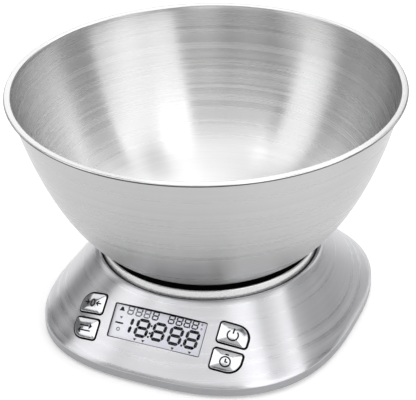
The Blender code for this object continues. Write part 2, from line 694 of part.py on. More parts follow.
def contact_spring(name, y, side):
    turns, steps, radius = 3, 8, 3.0 * MM
    end = BAY_SIZE[0] / 2 - 2 * GAP - CONTACT_THICKNESS - 0.3 * MM
    points = []
    for step in range(turns * steps + 1):
        angle = 2 * pi * step / steps
        x = end - (SPRING_LENGTH - 0.6 * MM) * step / (turns * steps)
        points.append((side * x, y + radius * cos(angle), BATTERY_HEIGHT + radius * sin(angle)))
    tube(name, points, 0.3 * MM, zinc(), resolution=1)


def battery_door():
    """Flush lid, hinged on hooks along its front edge, with a snap latch at its back edge."""
    width, depth = DOOR_SIZE
    hinge_y = BAY_CENTRE_Y - depth / 2
    door = put("battery_door", span((-width / 2, 0.0, 0.0), (width / 2, depth, DOOR_THICKNESS)), grey_plastic(),
               location=(0.0, hinge_y, PLATE_BOTTOM))
    for index in range(5):
        y = hinge_y + depth - 6 * MM - index * 1.6 * MM
        cut(door, f"grip_{index + 1}", block((14 * MM, 0.8 * MM, MM)), location=(0.0, y, PLATE_BOTTOM))


def power_supply():
    for index, (y, direction) in enumerate(zip(BATTERY_ROWS, (1, -1)), 1):
        battery(f"battery_{index}", y, direction)
        contact(f"contact_plate_plus_{index}", y, direction)
        contact(f"contact_plate_minus_{index}", y, -direction)
        contact_spring(f"contact_spring_{index}", y, -direction)


def wiring(panel):
    bpy.context.view_layer.update()
    board_back = BOARD_TOP - BOARD_THICKNESS

    def on_board(u, v):
        return panel.matrix_world @ Vector((u, v, board_back - 5.2 * MM))

    cell_route = smooth_route([(-10 * MM, -8.2 * MM, 16 * MM), (-9 * MM, -16 * MM, 13 * MM),
                               (4 * MM, -34 * MM, 10 * MM), (16 * MM, -46 * MM, 11 * MM), on_board(18 * MM, 5 * MM)])
    tube("load_cell_cable", cell_route, 1.0 * MM, wire_sheath("grey_sheath", (0.3, 0.3, 0.31)))
    for name, colour, y, x in (("battery_wire_red", (0.5, 0.02, 0.02), 30 * MM, 2 * MM),
                               ("battery_wire_black", (0.02, 0.02, 0.02), 38 * MM, -1.5 * MM)):
        route = smooth_route([(-31 * MM, y, 12 * MM), (-40 * MM, y - 4 * MM, 10 * MM), (-52 * MM, 8 * MM, 8 * MM),
                              (-50 * MM, -24 * MM, 8 * MM), (-30 * MM, -44 * MM, 10 * MM),
                              on_board(-x - 2 * MM, 5 * MM)])
        offset = Vector((x, x, 0.0))
        tube(name, [point + offset for point in route], 0.6 * MM, wire_sheath(f"{name}_sheath", colour))


def main():
    clear_scene()
    panel = empty("panel", PANEL_CENTRE, (PANEL_TILT, 0.0, 0.0))
    bowl()
    platform_ring()
    platform_seat()
    platform_carrier()
    load_cell()
    top_cover(panel)
    cover_frame(panel)
    base_plate()
    case_screws()
    feet()
    rating_label()
    display(panel)
    for name, place, outline in button_layout():
        button(name, place, outline, panel)
        key_switch(name.replace("button", "key_switch"), place, panel)
    electronics(panel)
    battery_box()
    battery_door()
    power_supply()
    wiring(panel)


if __name__ == "__main__":
    main()
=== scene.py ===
"""Looks for a digital kitchen scale with a lift-off steel bowl.

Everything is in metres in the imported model's own frame: +Z up, the display faces -Y,
and the bowl's axis is the Z axis.
"""

import logging
from dataclasses import dataclass
from enum import Enum
from math import atan2, cos, hypot, pi, radians, sin, tan

import bmesh
import bpy
from mathutils import Matrix, Vector
from mathutils.bvhtree import BVHTree


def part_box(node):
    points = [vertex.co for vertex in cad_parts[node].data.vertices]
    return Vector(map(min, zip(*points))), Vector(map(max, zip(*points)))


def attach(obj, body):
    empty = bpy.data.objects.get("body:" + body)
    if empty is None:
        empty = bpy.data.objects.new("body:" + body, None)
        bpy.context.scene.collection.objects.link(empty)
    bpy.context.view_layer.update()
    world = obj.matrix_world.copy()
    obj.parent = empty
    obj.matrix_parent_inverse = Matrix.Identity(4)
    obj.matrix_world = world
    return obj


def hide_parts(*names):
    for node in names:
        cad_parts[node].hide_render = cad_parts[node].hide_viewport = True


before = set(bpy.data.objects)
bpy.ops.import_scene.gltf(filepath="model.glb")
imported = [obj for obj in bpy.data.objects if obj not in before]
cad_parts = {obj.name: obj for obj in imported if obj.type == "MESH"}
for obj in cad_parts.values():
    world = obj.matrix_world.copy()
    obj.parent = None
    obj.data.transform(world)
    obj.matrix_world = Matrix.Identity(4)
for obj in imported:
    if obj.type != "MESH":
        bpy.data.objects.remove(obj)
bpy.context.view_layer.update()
LOG = logging.getLogger("kitchen_scale")

MM = 0.001
WELD = 0.001 * MM
NOISE_LOW, NOISE_HIGH = 0.3, 0.7        # range that most of a noise's values keep to
COLOUR_A, COLOUR_B, MIXED = 6, 7, 2     # sockets of a Mix node that mixes colours
QUARTER_TURN = 0.25

Pair = tuple[float, float]
Place = tuple[float, float, float]
Tree = bpy.types.NodeTree
Node = bpy.types.Node
Socket = bpy.types.NodeSocket
Form = bmesh.types.BMesh
Piece = bpy.types.Object


# ---------------------------------------------------------------- nodes and colours


def linear(hex_colour: str) -> tuple[float, float, float, float]:
    """Turn an sRGB hex value into a linear colour.

    Args:
        hex_colour: Six hex digits after a hash sign.

    Returns:
        Red, green, blue and a full alpha.
    """
    parts = [int(hex_colour[i:i + 2], 16) / 255 for i in (1, 3, 5)]
    red, green, blue = (p / 12.92 if p <= 0.04045 else ((p + 0.055) / 1.055) ** 2.4 for p in parts)
    return red, green, blue, 1.0


def feed(tree: Tree, node: Node, inputs: dict) -> None:
    """Set or link the inputs of a node.

    Args:
        tree: The tree that the node is in.
        node: The node.
        inputs: By name or number: a value, an output, or a node whose first output is meant.
    """
    for key, value in inputs.items():
        source = value.outputs[0] if isinstance(value, bpy.types.Node) else value
        if isinstance(source, bpy.types.NodeSocket):
            tree.links.new(source, node.inputs[key])
        else:
            node.inputs[key].default_value = source


def add_node(tree: Tree, kind: str, inputs: dict | None = None, **settings: object) -> Node:
    """Add one node with its settings, values and links.

    Args:
        tree: The node tree to add to.
        kind: The node's type name.
        inputs: What its inputs take, as in feed.
        **settings: Properties of the node itself.

    Returns:
        The new node.
    """
    node = tree.nodes.new(kind)
    for key, value in settings.items():
        setattr(node, key, value)
    feed(tree, node, inputs or {})
    return node


# ---------------------------------------------------------------- finishes


@dataclass(frozen=True)
class Finish:
    """What every finish shares.

    Attributes:
        name: The real material and how its surface was made.
        colour: Base colour as an sRGB hex value.
        roughness: Middle roughness of the surface.
        metallic: 1 for bare metal, 0 for anything else.
    """

    name: str
    colour: str
    roughness: float
    metallic: float = 0.0

    def make(self) -> bpy.types.Material:
        """Make the material once, and after that find it by its name.

        Returns:
            The material.
        """
        found = bpy.data.materials.get(self.name)
        if found:
            return found
        material = bpy.data.materials.new(self.name)
        material.use_nodes = True
        self.fill(material.node_tree)
        return material

    def fill(self, tree: Tree) -> None:
        """Set the shader and add the pattern.

        Args:
            tree: The new material's tree.
        """
        shader = tree.nodes["Principled BSDF"]
        feed(tree, shader, {"Base Color": linear(self.colour), "Roughness": self.roughness,
                            "Metallic": self.metallic})
        self.dress(tree, shader, add_node(tree, "ShaderNodeTexCoord").outputs["Object"])

    def dress(self, tree: Tree, shader: Node, coords: Socket) -> None:
        """Add this finish's own pattern; the plain finish has none."""

    def shades(self, tree: Tree, amount: Node, spread: float) -> Node:
        """Vary the base colour between a darker and a lighter shade.

        Args:
            tree: The material's tree.
            amount: Pattern between 0 and 1.
            spread: How far the shades stand from the base colour, 0 to 1.

        Returns:
            The node that gives the colour.
        """
        ramp = add_node(tree, "ShaderNodeValToRGB", {"Fac": amount})
        gains = (1 - spread, 1 + spread)
        for stop, place, gain in zip(ramp.color_ramp.elements, (NOISE_LOW, NOISE_HIGH), gains):
            stop.position = place
            stop.color = (*(min(part * gain, 1.0) for part in linear(self.colour)[:3]), 1.0)
        return ramp


class Brushing(Enum):
    """Which way a brushed sheet was turned under the abrasive."""

    ROUND_BOWL = 1.0
    ROUND_DOME = -1.0


@dataclass(frozen=True)
class BrushedSteel(Finish):
    """Stainless sheet brushed in rings about the upright axis.

    The fine parallel scratches smear reflections across them, so lights show as long streaks
    that run from the axis outwards.

    Attributes:
        brushing: Bowl walls rise away from the axis and the cover falls away from it.
        line: Spacing of the scratches; drawn coarser than the real 0.1 mm so that it shows.
        band: Spacing of the broad bands where the abrasive bit harder.
        band_share: Strength of a band beside a scratch.
        reach: How many separate scratches lie end to end in one turn.
        contrast: Strength of the light and dark lines.
        depth: Height of the scratches in the bump.
        haze: How far the roughness varies from band to band.
        smear: Anisotropy of the reflections.
        calm: Radius within which the surface is rougher, where the tool dwells, and within which light or
            shade is painted into the colour.
        calm_rise: Extra roughness there.
        painted_light_share: How far the colour goes towards the painted light there.
        painted_light_tone: Colour of the painted light: white for a painted highlight, dark grey for painted
            shade.
    """

    brushing: Brushing = Brushing.ROUND_BOWL
    line: float = 0.5 * MM
    band: float = 5.0 * MM
    band_share: float = 0.35
    reach: float = 1.6
    contrast: float = 0.16
    depth: float = 0.004 * MM
    haze: float = 0.12
    smear: float = 0.85
    calm: float = 84.0 * MM
    calm_rise: float = 0.0
    painted_light_share: float = 0.0
    painted_light_tone: str = "#ffffff"

    def ring_noises(self, tree: Tree, along: Node) -> list[Node]:
        """Draw noise that changes only from one ring to the next.

        Args:
            tree: The material's tree.
            along: Distance along the section of the sheet.

        Returns:
            The noise of the scratches and the noise of the bands.
        """
        noises = []
        for pitch, detail in ((self.line, 3.0), (self.band, 2.0)):
            across = add_node(tree, "ShaderNodeMath", {0: along, 1: 1.0 / pitch}, operation="MULTIPLY")
            noises.append(add_node(tree, "ShaderNodeTexNoise", {"W": across, "Scale": 1.0, "Detail": detail,
                                                               "Roughness": 0.65}, noise_dimensions="1D"))
        return noises

    def fade(self, tree: Tree, along: Node, flat: Node) -> Node:
        """Let each scratch fade out part of the way round.

        Args:
            tree: The material's tree.
            along: Distance along the section of the sheet.
            flat: Place in plan.

        Returns:
            Strength of the scratch at each place.
        """
        outward = add_node(tree, "ShaderNodeVectorMath", {0: flat}, operation="NORMALIZE")
        turned = add_node(tree, "ShaderNodeVectorMath", {0: outward, 1: (self.reach,) * 3},
                          operation="MULTIPLY")
        rise = add_node(tree, "ShaderNodeMath", {0: along, 1: 0.5 / self.line}, operation="MULTIPLY")
        lift = add_node(tree, "ShaderNodeCombineXYZ", {"Z": rise})
        place = add_node(tree, "ShaderNodeVectorMath", {0: turned, 1: lift}, operation="ADD")
        patch = add_node(tree, "ShaderNodeTexNoise", {"Vector": place, "Scale": 1.0, "Detail": 1.0})
        return add_node(tree, "ShaderNodeMapRange", {"Value": patch, "From Min": 0.4, "From Max": 0.68,
                                                     "To Min": 0.35, "To Max": 1.0})

    def dress(self, tree: Tree, shader: Node, coords: Socket) -> None:
        """Draw the scratches along rings, turn the reflections across them and paint light into the colour
        near the axis.

        Args:
            tree: The material's tree.
            shader: Its shader.
            coords: Place in the model's frame.
        """
        flat = add_node(tree, "ShaderNodeVectorMath", {0: coords, 1: (1.0, 1.0, 0.0)}, operation="MULTIPLY")
        radius = add_node(tree, "ShaderNodeVectorMath", {0: flat}, operation="LENGTH").outputs["Value"]
        height = add_node(tree, "ShaderNodeSeparateXYZ", {0: coords}).outputs["Z"]
        along = add_node(tree, "ShaderNodeMath", {0: height, 1: self.brushing.value, 2: radius},
                         operation="MULTIPLY_ADD")
        fine, broad = self.ring_noises(tree, along)
        sunk = add_node(tree, "ShaderNodeMath", {0: fine, 1: 0.5}, operation="SUBTRACT")
        scratch = add_node(tree, "ShaderNodeMath", {0: sunk, 1: self.fade(tree, along, flat), 2: 0.5},
                           operation="MULTIPLY_ADD")
        both = add_node(tree, "ShaderNodeMath", {0: broad, 1: self.band_share, 2: scratch},
                        operation="MULTIPLY_ADD")
        level = add_node(tree, "ShaderNodeMath", {0: both, 1: 1.0 / (1.0 + self.band_share)},
                         operation="MULTIPLY")
        # Painted light: near the axis the colour is mixed towards a second tone, a painted highlight on the
        # bowl's inside and painted shade on its back.
        inside = {"Value": radius, "From Min": self.calm, "From Max": self.calm * 0.5}
        share, rise = (add_node(tree, "ShaderNodeMapRange", {**inside, "To Max": most},
                                interpolation_type="SMOOTHSTEP")
                       for most in (self.painted_light_share, self.calm_rise))
        tone = add_node(tree, "ShaderNodeMix", {
            "Factor": share, COLOUR_A: self.shades(tree, level, self.contrast),
            COLOUR_B: linear(self.painted_light_tone)}, data_type="RGBA")
        hazy = add_node(tree, "ShaderNodeMapRange", {
            "Value": broad, "From Min": NOISE_LOW, "From Max": NOISE_HIGH,
            "To Min": self.roughness * (1 - self.haze), "To Max": self.roughness * (1 + self.haze)})
        rough = add_node(tree, "ShaderNodeMath", {0: hazy, 1: rise})
        bump = add_node(tree, "ShaderNodeBump", {"Height": scratch, "Strength": 1.0, "Distance": self.depth})
        tangent = add_node(tree, "ShaderNodeVectorMath", {0: (0.0, 0.0, 1.0), 1: coords},
                           operation="CROSS_PRODUCT")
        feed(tree, shader, {
            "Base Color": tone.outputs[MIXED], "Roughness": rough, "Normal": bump, "Tangent": tangent,
            "Anisotropic": self.smear, "Anisotropic Rotation": QUARTER_TURN})


@dataclass(frozen=True)
class SmoothMetal(Finish):
    """Plated or polished metal: nearly a mirror, with slight waves left by polishing.

    Attributes:
        wave: Size of the polishing waves.
        depth: Height of the waves.
        haze: How far the roughness varies from place to place.
    """

    wave: float = 6.0 * MM
    depth: float = 0.01 * MM
    haze: float = 0.2

    def dress(self, tree: Tree, shader: Node, coords: Socket) -> None:
        """Add slow waves to the surface and patches of haze.

        Args:
            tree: The material's tree.
            shader: Its shader.
            coords: Place in the model's frame.
        """
        waves, haze = (add_node(tree, "ShaderNodeTexNoise", {"Vector": coords, "Scale": count / self.wave,
                                                             "Detail": detail})
                       for count, detail in ((1.0, 2.0), (3.0, 4.0)))
        rough = add_node(tree, "ShaderNodeMapRange", {
            "Value": haze, "From Min": NOISE_LOW, "From Max": NOISE_HIGH,
            "To Min": self.roughness * (1 - self.haze), "To Max": self.roughness * (1 + self.haze)})
        bump = add_node(tree, "ShaderNodeBump", {"Height": waves, "Distance": self.depth})
        feed(tree, shader, {"Base Color": self.shades(tree, haze, 0.03), "Roughness": rough, "Normal": bump})


@dataclass(frozen=True)
class Moulded(Finish):
    """Moulded plastic or rubber with the fine spark-eroded grain of its tool.

    Attributes:
        grain: Spacing of the grain.
        depth: Height of the grain.
        mottle: Strength of the slow change in shade.
        polish: How much shinier the high spots are.
    """

    grain: float = 0.4 * MM
    depth: float = 0.02 * MM
    mottle: float = 0.12
    polish: float = 0.15

    def dress(self, tree: Tree, shader: Node, coords: Socket) -> None:
        """Add the grain, a slow mottle and slightly shinier high spots.

        Args:
            tree: The material's tree.
            shader: Its shader.
            coords: Place in the model's frame.
        """
        grain = add_node(tree, "ShaderNodeTexVoronoi", {"Vector": coords, "Scale": 1.0 / self.grain})
        mottle = add_node(tree, "ShaderNodeTexNoise", {"Vector": coords, "Scale": 0.06 / self.grain,
                                                       "Detail": 3.0})
        rough = add_node(tree, "ShaderNodeMapRange", {
            "Value": grain, "From Min": 0.0, "From Max": 0.7,
            "To Min": self.roughness * (1 - self.polish),
            "To Max": min(self.roughness * (1 + self.polish), 1.0)})
        bump = add_node(tree, "ShaderNodeBump", {"Height": grain, "Distance": self.depth, "Strength": 0.6})
        feed(tree, shader, {"Base Color": self.shades(tree, mottle, self.mottle), "Roughness": rough,
                            "Normal": bump})


@dataclass(frozen=True)
class MilledMetal(Finish):
    """Extruded or milled bar: faint parallel tool marks along X.

    Attributes:
        mark: Spacing of the tool marks.
        stretch: Length of a mark's unit along X beside its unit across.
    """

    mark: float = 0.6 * MM
    stretch: float = 0.03

    def dress(self, tree: Tree, shader: Node, coords: Socket) -> None:
        """Stretch a noise along X for the tool marks.

        Args:
            tree: The material's tree.
            shader: Its shader.
            coords: Place in the model's frame.
        """
        fine = 1.0 / self.mark
        place = add_node(tree, "ShaderNodeVectorMath", {0: coords, 1: (self.stretch * fine, fine, fine)},
                         operation="MULTIPLY")
        marks = add_node(tree, "ShaderNodeTexNoise", {"Vector": place, "Scale": 1.0, "Detail": 3.0})
        bump = add_node(tree, "ShaderNodeBump", {"Height": marks, "Distance": 0.01 * MM})
        feed(tree, shader, {"Base Color": self.shades(tree, marks, 0.12), "Normal": bump})


@dataclass(frozen=True)
class Ink(Finish):
    """A thin matt layer that takes no highlight of its own: printed ink, or a dark display bar.

    Attributes:
        speck: Spacing of the faint unevenness of its tone.
    """

    speck: float = 0.2 * MM

    def dress(self, tree: Tree, shader: Node, coords: Socket) -> None:
        """Make the tone slightly uneven and take the shine off.

        Args:
            tree: The material's tree.
            shader: Its shader.
            coords: Place in the model's frame.
        """
        specks = add_node(tree, "ShaderNodeTexNoise", {"Vector": coords, "Scale": 1.0 / self.speck})
        feed(tree, shader, {"Base Color": self.shades(tree, specks, 0.15), "Specular IOR Level": 0.05})


@dataclass(frozen=True)
class LiquidCrystal(Finish):
    """Reflective display glass: pale grey, made paler towards the left by a painted reflection, with a
    painted glow.

    Attributes:
        pale: The lighter tone, a painted reflection.
        middle: X where the two tones meet.
        width: Distance over which one tone turns into the other.
        grain: Spacing of the rear reflector's grain.
        glow: Painted glow: light that the glass gives off, with no lamp behind it.
    """

    pale: str = "#ffffff"
    middle: float = -8.0 * MM
    width: float = 40.0 * MM
    grain: float = 0.25 * MM
    glow: float = 0.3

    def dress(self, tree: Tree, shader: Node, coords: Socket) -> None:
        """Blend the two tones along X, a painted reflection, add the fine grain of the rear reflector and
        give the glass its painted glow.

        Args:
            tree: The material's tree.
            shader: Its shader.
            coords: Place in the model's frame.
        """
        across = add_node(tree, "ShaderNodeSeparateXYZ", {0: coords}).outputs["X"]
        # Painted reflection: the pale tone to the left stands for light reflected in the glass.
        blend = add_node(tree, "ShaderNodeMapRange", {
            "Value": across, "From Min": self.middle - self.width / 2,
            "From Max": self.middle + self.width / 2}, interpolation_type="SMOOTHSTEP")
        grain = add_node(tree, "ShaderNodeTexNoise", {"Vector": coords, "Scale": 1.0 / self.grain,
                                                      "Detail": 2.0}).outputs["Color"]
        tone = add_node(tree, "ShaderNodeMix", {"Factor": blend, COLOUR_A: linear(self.pale),
                                                COLOUR_B: linear(self.colour)}, data_type="RGBA")
        speck = add_node(tree, "ShaderNodeMix", {"Factor": 0.06, COLOUR_A: tone.outputs[MIXED],
                                                 COLOUR_B: grain}, data_type="RGBA", blend_type="MULTIPLY")
        # Painted glow: the glass gives off light though nothing behind it is a lamp.
        feed(tree, shader, {"Base Color": speck.outputs[MIXED], "Emission Color": linear(self.pale),
                            "Emission Strength": self.glow})


@dataclass(frozen=True)
class ClearSheet(Finish):
    """Clear acrylic window: see-through, with the sharp weak reflection of a polished sheet.

    Attributes:
        index: Refractive index of the reflection; an anti-glare coat brings it under acrylic's 1.49.
    """

    index: float = 1.22

    def fill(self, tree: Tree) -> None:
        """Mix clear and mirror by the sheet's own Fresnel reflection.

        Args:
            tree: The new material's tree.
        """
        tree.nodes.remove(tree.nodes["Principled BSDF"])
        clear = add_node(tree, "ShaderNodeBsdfTransparent", {"Color": linear(self.colour)})
        gloss = add_node(tree, "ShaderNodeBsdfGlossy", {"Color": linear("#ffffff"),
                                                        "Roughness": self.roughness})
        weight = add_node(tree, "ShaderNodeFresnel", {"IOR": self.index})
        mix = add_node(tree, "ShaderNodeMixShader", {0: weight, 1: clear, 2: gloss})
        feed(tree, tree.nodes["Material Output"], {"Surface": mix})


@dataclass(frozen=True)
class LightTable(Finish):
    """Opal acrylic lit from below, which keeps shadows pale.

    Attributes:
        glow: Light that the sheet gives off itself.
    """

    glow: float = 0.3

    def dress(self, tree: Tree, shader: Node, coords: Socket) -> None:
        """Give the sheet its glow and a very faint unevenness.

        Args:
            tree: The material's tree.
            shader: Its shader.
            coords: Place in the model's frame.
        """
        cloud = add_node(tree, "ShaderNodeTexNoise", {"Vector": coords, "Scale": 8.0})
        feed(tree, shader, {"Base Color": self.shades(tree, cloud, 0.01), "Emission Color": linear("#ffffff"),
                            "Emission Strength": self.glow})


@dataclass(frozen=True)
class CircuitBoard(Finish):
    """Green solder mask over copper tracks, with the tracks showing as paler lines.

    Attributes:
        patch: The second green of the mask.
        track: Tone of the mask over a track.
        pitch: Spacing of the tracks.
    """

    patch: str = "#1c5a34"
    track: str = "#3f8a55"
    pitch: float = 8.0 * MM

    def dress(self, tree: Tree, shader: Node, coords: Socket) -> None:
        """Draw tracks with a brick pattern.

        Args:
            tree: The material's tree.
            shader: Its shader.
            coords: Place in the model's frame.
        """
        tracks = add_node(tree, "ShaderNodeTexBrick", {
            "Vector": coords, "Color1": linear(self.colour), "Color2": linear(self.patch),
            "Mortar": linear(self.track), "Scale": 1.0 / self.pitch, "Mortar Size": 0.03})
        feed(tree, shader, {"Base Color": tracks})


@dataclass(frozen=True)
class Sleeve(Finish):
    """Shrink sleeve on a battery: dark body with a metallic band at one end.

    Attributes:
        band: Colour of the band.
        edge: Distance from the middle at which the band starts.
    """

    band: str = "#b08a4a"
    edge: float = 11.0 * MM

    def dress(self, tree: Tree, shader: Node, coords: Socket) -> None:
        """Split the sleeve's colour along X.

        Args:
            tree: The material's tree.
            shader: Its shader.
            coords: Place in the model's frame.
        """
        across = add_node(tree, "ShaderNodeSeparateXYZ", {0: coords}).outputs["X"]
        side = add_node(tree, "ShaderNodeMath", {0: across, 1: self.edge}, operation="GREATER_THAN")
        tone = add_node(tree, "ShaderNodeMix", {"Factor": side, COLOUR_A: linear(self.colour),
                                                COLOUR_B: linear(self.band)}, data_type="RGBA")
        feed(tree, shader, {"Base Color": tone.outputs[MIXED]})


# Stainless sheet, spun and brushed on the lathe: lights draw out into streaks from floor to rim, and a
# painted highlight whitens the lower wall towards the floor.
BOWL_STEEL = BrushedSteel("spun_brushed_stainless_bowl", "#d4d4d4", 0.26, 1.0, calm_rise=0.25, painted_light_share=0.9)
# Satin outside of the same sheet: a darker grey than the inside, which is painted shade, with only faint
# streaks and a painted dark reflection at the foot.
BOWL_BACK_SHADE_STEEL = BrushedSteel("satin_brushed_stainless_bowl_back", "#b4b4b4", 0.3, 1.0, contrast=0.14,
                               depth=0.001 * MM, calm=78.0 * MM, painted_light_share=0.5, painted_light_tone="#5c5c5c")
# Painted shade: a thin dark line of darker smooth steel under the rim.
HEM_SHADE = SmoothMetal("unpolished_fold_under_the_hem", "#4a4a4a", 0.45, 1.0, wave=2.0 * MM, depth=0.002 * MM)
# Pressed stainless brushed in rings: a fan of broad soft streaks that meet at the platform.
COVER_STEEL = BrushedSteel("round_brushed_stainless_cover", "#cdcdd0", 0.3, 1.0, Brushing.ROUND_DOME,
                           line=0.4 * MM, reach=1.2, contrast=0.1, depth=0.0015 * MM, smear=0.8)
# The upright edge of the same sheet: a darker, flatter band round the bottom, which is painted shade.
COVER_BAND_SHADE = BrushedSteel("satin_stainless_cover_edge", "#a2a2a5", 0.34, 1.0, Brushing.ROUND_DOME,
                                contrast=0.1, depth=0.002 * MM)
# Turned stainless with a satin finish: one soft highlight along the ring.
RING_STEEL = SmoothMetal("satin_turned_stainless_ring", "#d0d0d0", 0.25, 1.0, wave=3.0 * MM, depth=0.002 * MM)
# Bright chrome on plastic: near-mirror tops with slightly wavy reflections.
CHROME = SmoothMetal("bright_chrome_plate", "#cccdd0", 0.15, 1.0, wave=5.0 * MM, depth=0.004 * MM, haze=0.3)
# Zinc on steel screws and springs: a dull bluish shine.
ZINC = SmoothMetal("blue_zinc_plate", "#b3b6ba", 0.32, 1.0, wave=1.5 * MM, depth=0.01 * MM)
# Milled aluminium bar: pale and matt, with fine lines along it.
ALUMINIUM = MilledMetal("milled_aluminium", "#c9cacb", 0.35, 1.0)
# Black ABS with a fine mould grain: a deep matt black with a dim sheen.
BLACK_ABS = Moulded("moulded_black_abs", "#161617", 0.42)
# Grey ABS from the same kind of mould: an even mid grey.
GREY_ABS = Moulded("moulded_grey_abs", "#8b8d8f", 0.5)
# Black rubber: charcoal, with no highlight and a coarser grain.
RUBBER = Moulded("moulded_black_rubber", "#222222", 0.8, grain=0.6 * MM)
# Cast silicone: milky off-white and nearly smooth.
SILICONE = Moulded("cast_silicone", "#dcdbd2", 0.6, depth=0.004 * MM)
# Pad-printed ink: flat black signs with crisp edges.
MARK_INK = Ink("matt_pad_printed_ink", "#121213", 0.85)
# Matt black plastic round a key and the window: painted shade, a black piece where the gaps round each button
# and the window's edge lie in shade.
KEY_SHADE_SKIRT = Ink("matt_black_key_skirt", "#0c0c0c", 0.9)
# A display bar that is switched on: the darkest black on the object.
SEGMENT_BLACK = Ink("liquid_crystal_segment", "#070708", 0.9)
# A display bar that is switched off: a grey ghost on the pale glass.
SEGMENT_FAINT = Ink("liquid_crystal_faint_segment", "#8b8c92", 0.9)
# Display glass over a reflector: an almost white ground that turns greyer to the right; the white to the left
# is a painted reflection, and the glass has a painted glow.
DISPLAY = LiquidCrystal("reflective_liquid_crystal_glass", "#dedee6", 0.4)
# Polished acrylic: hardly seen, apart from a faint sharp reflection.
LENS = ClearSheet("polished_clear_acrylic", "#f6f6f8", 0.02)
# Solder mask: dark glossy green with paler tracks.
BOARD = CircuitBoard("green_solder_mask", "#123f24", 0.35)
# Printed film shrunk on a cell: a dark glossy body with a brassy end.
BATTERY = Sleeve("printed_shrink_sleeve", "#23262c", 0.3)
# Matt silver film: a smooth blank label, paler than the base.
PAPER = Moulded("matt_silver_label_film", "#c9cacc", 0.45, grain=0.8 * MM, depth=0.003 * MM, mottle=0.04)
# Soft PVC wire sheaths: one plain colour each, with a slight sheen.
SHEATHS = {name: Moulded(f"{name}_pvc", colour, 0.45, depth=0.004 * MM) for name, colour in
           (("red", "#a3211c"), ("black", "#1b1b1b"), ("grey", "#77787a"))}
# Opal acrylic lit from below: a white ground with pale shadows.
FLOOR = LightTable("lit_opal_acrylic_table", "#f4f4f4", 0.9)


# ---------------------------------------------------------------- mesh helpers


def make_object(name: str, mesh: bpy.types.ID) -> Piece:
    """Link a new object at the origin.

    Args:
        name: Name of the object.
        mesh: What it shows: a mesh, or the data of a light or camera.

    Returns:
        The object.
    """
    piece = bpy.data.objects.new(name, mesh)
    bpy.context.scene.collection.objects.link(piece)
    return piece


def smooth(mesh: bpy.types.Mesh, sharp: float) -> None:
    """Shade the mesh smooth and keep edges above an angle in degrees crisp."""
    mesh.shade_smooth()
    mesh.set_sharp_from_angle(angle=radians(sharp))


def solid(name: str, bm: Form, finish: Finish, matrix: Matrix | None = None,
          sharp: float = 35.0) -> Piece:
    """Turn a closed bmesh into a finished object with outward faces.

    Args:
        name: Name of the object and its mesh.
        bm: The shape; it is freed.
        finish: The finish to put on it.
        matrix: Where to move the shape, if it wasn't built in place.
        sharp: Edges above this angle in degrees stay crisp.

    Returns:
        The object, at the origin with its place in its mesh.
    """
    if matrix is not None:
        bm.transform(matrix)
    bmesh.ops.remove_doubles(bm, verts=bm.verts, dist=WELD)
    bmesh.ops.recalc_face_normals(bm, faces=bm.faces)
    mesh = bpy.data.meshes.new(name)
    bm.to_mesh(mesh)
    bm.free()
    smooth(mesh, sharp)
    mesh.materials.append(finish.make())
    return make_object(name, mesh)


def flatten(piece: Piece, sharp: float = 35.0) -> None:
    """Turn a piece and its modifiers into one plain mesh.

    Args:
        piece: The object; its modifiers are used and removed.
        sharp: Edges above this angle in degrees stay crisp.
    """
    graph = bpy.context.evaluated_depsgraph_get()
    mesh = bpy.data.meshes.new_from_object(piece.evaluated_get(graph))
    old = piece.data
    piece.modifiers.clear()
    piece.data = mesh
    bpy.data.meshes.remove(old)
    mesh.name = piece.name
    bm = bmesh.new()
    bm.from_mesh(mesh)
    bmesh.ops.remove_doubles(bm, verts=bm.verts, dist=WELD)
    bmesh.ops.dissolve_degenerate(bm, edges=bm.edges, dist=WELD)
    bmesh.ops.recalc_face_normals(bm, faces=bm.faces)
    bm.to_mesh(mesh)
    bm.free()
    smooth(mesh, sharp)


def prism(outline: list[Pair], low: float, high: float) -> Form:
    """Extrude a flat outline between two heights.

    Args:
        outline: The points, in order.
        low: Height of the bottom.
        high: Height of the top.

    Returns:
        The closed shape.
    """
    bm = bmesh.new()
    face = bm.faces.new([bm.verts.new((x, y, low)) for x, y in outline])
    grown = bmesh.ops.extrude_face_region(bm, geom=[face])
    top = [item for item in grown["geom"] if isinstance(item, bmesh.types.BMVert)]
    bmesh.ops.translate(bm, verts=top, vec=(0, 0, high - low))
    return bm


def rounded_rectangle(width: float, height: float, radii: list[float], steps: int = 8) -> list[Pair]:
    """Outline of a rectangle with rounded corners.

    Args:
        width: Size along x.
        height: Size along y.
        radii: Corner radii: top right, top left, bottom left, bottom right.
        steps: Facets in each corner.

    Returns:
        The points, anticlockwise.
    """
    points = []
    for (sx, sy, start), radius in zip(((1, 1, 0), (-1, 1, 90), (-1, -1, 180), (1, -1, 270)), radii):
        centre = (sx * (width / 2 - radius), sy * (height / 2 - radius))
        for step in range(steps + 1):
            angle = radians(start + 90 * step / steps)
            points.append((centre[0] + radius * cos(angle), centre[1] + radius * sin(angle)))
    return points


def arc(centre: Pair, radius: float, start: float, end: float, steps: int) -> list[Pair]:
    """Points along an arc, with its angles in degrees."""
    turns = [radians(start + (end - start) * step / steps) for step in range(steps + 1)]
    return [(centre[0] + radius * cos(turn), centre[1] + radius * sin(turn)) for turn in turns]


def join_rows(bm: Form, rows: list[list[bmesh.types.BMVert]]) -> None:
    """Skin neighbouring closed rows of vertices with quads.

    Args:
        bm: The shape that the rows are in.
        rows: The rows, each with the same number of vertices.
    """
    for lower, upper in zip(rows, rows[1:]):
        for i in range(len(lower)):
            j = (i + 1) % len(lower)
            bm.faces.new((lower[i], lower[j], upper[j], upper[i]))


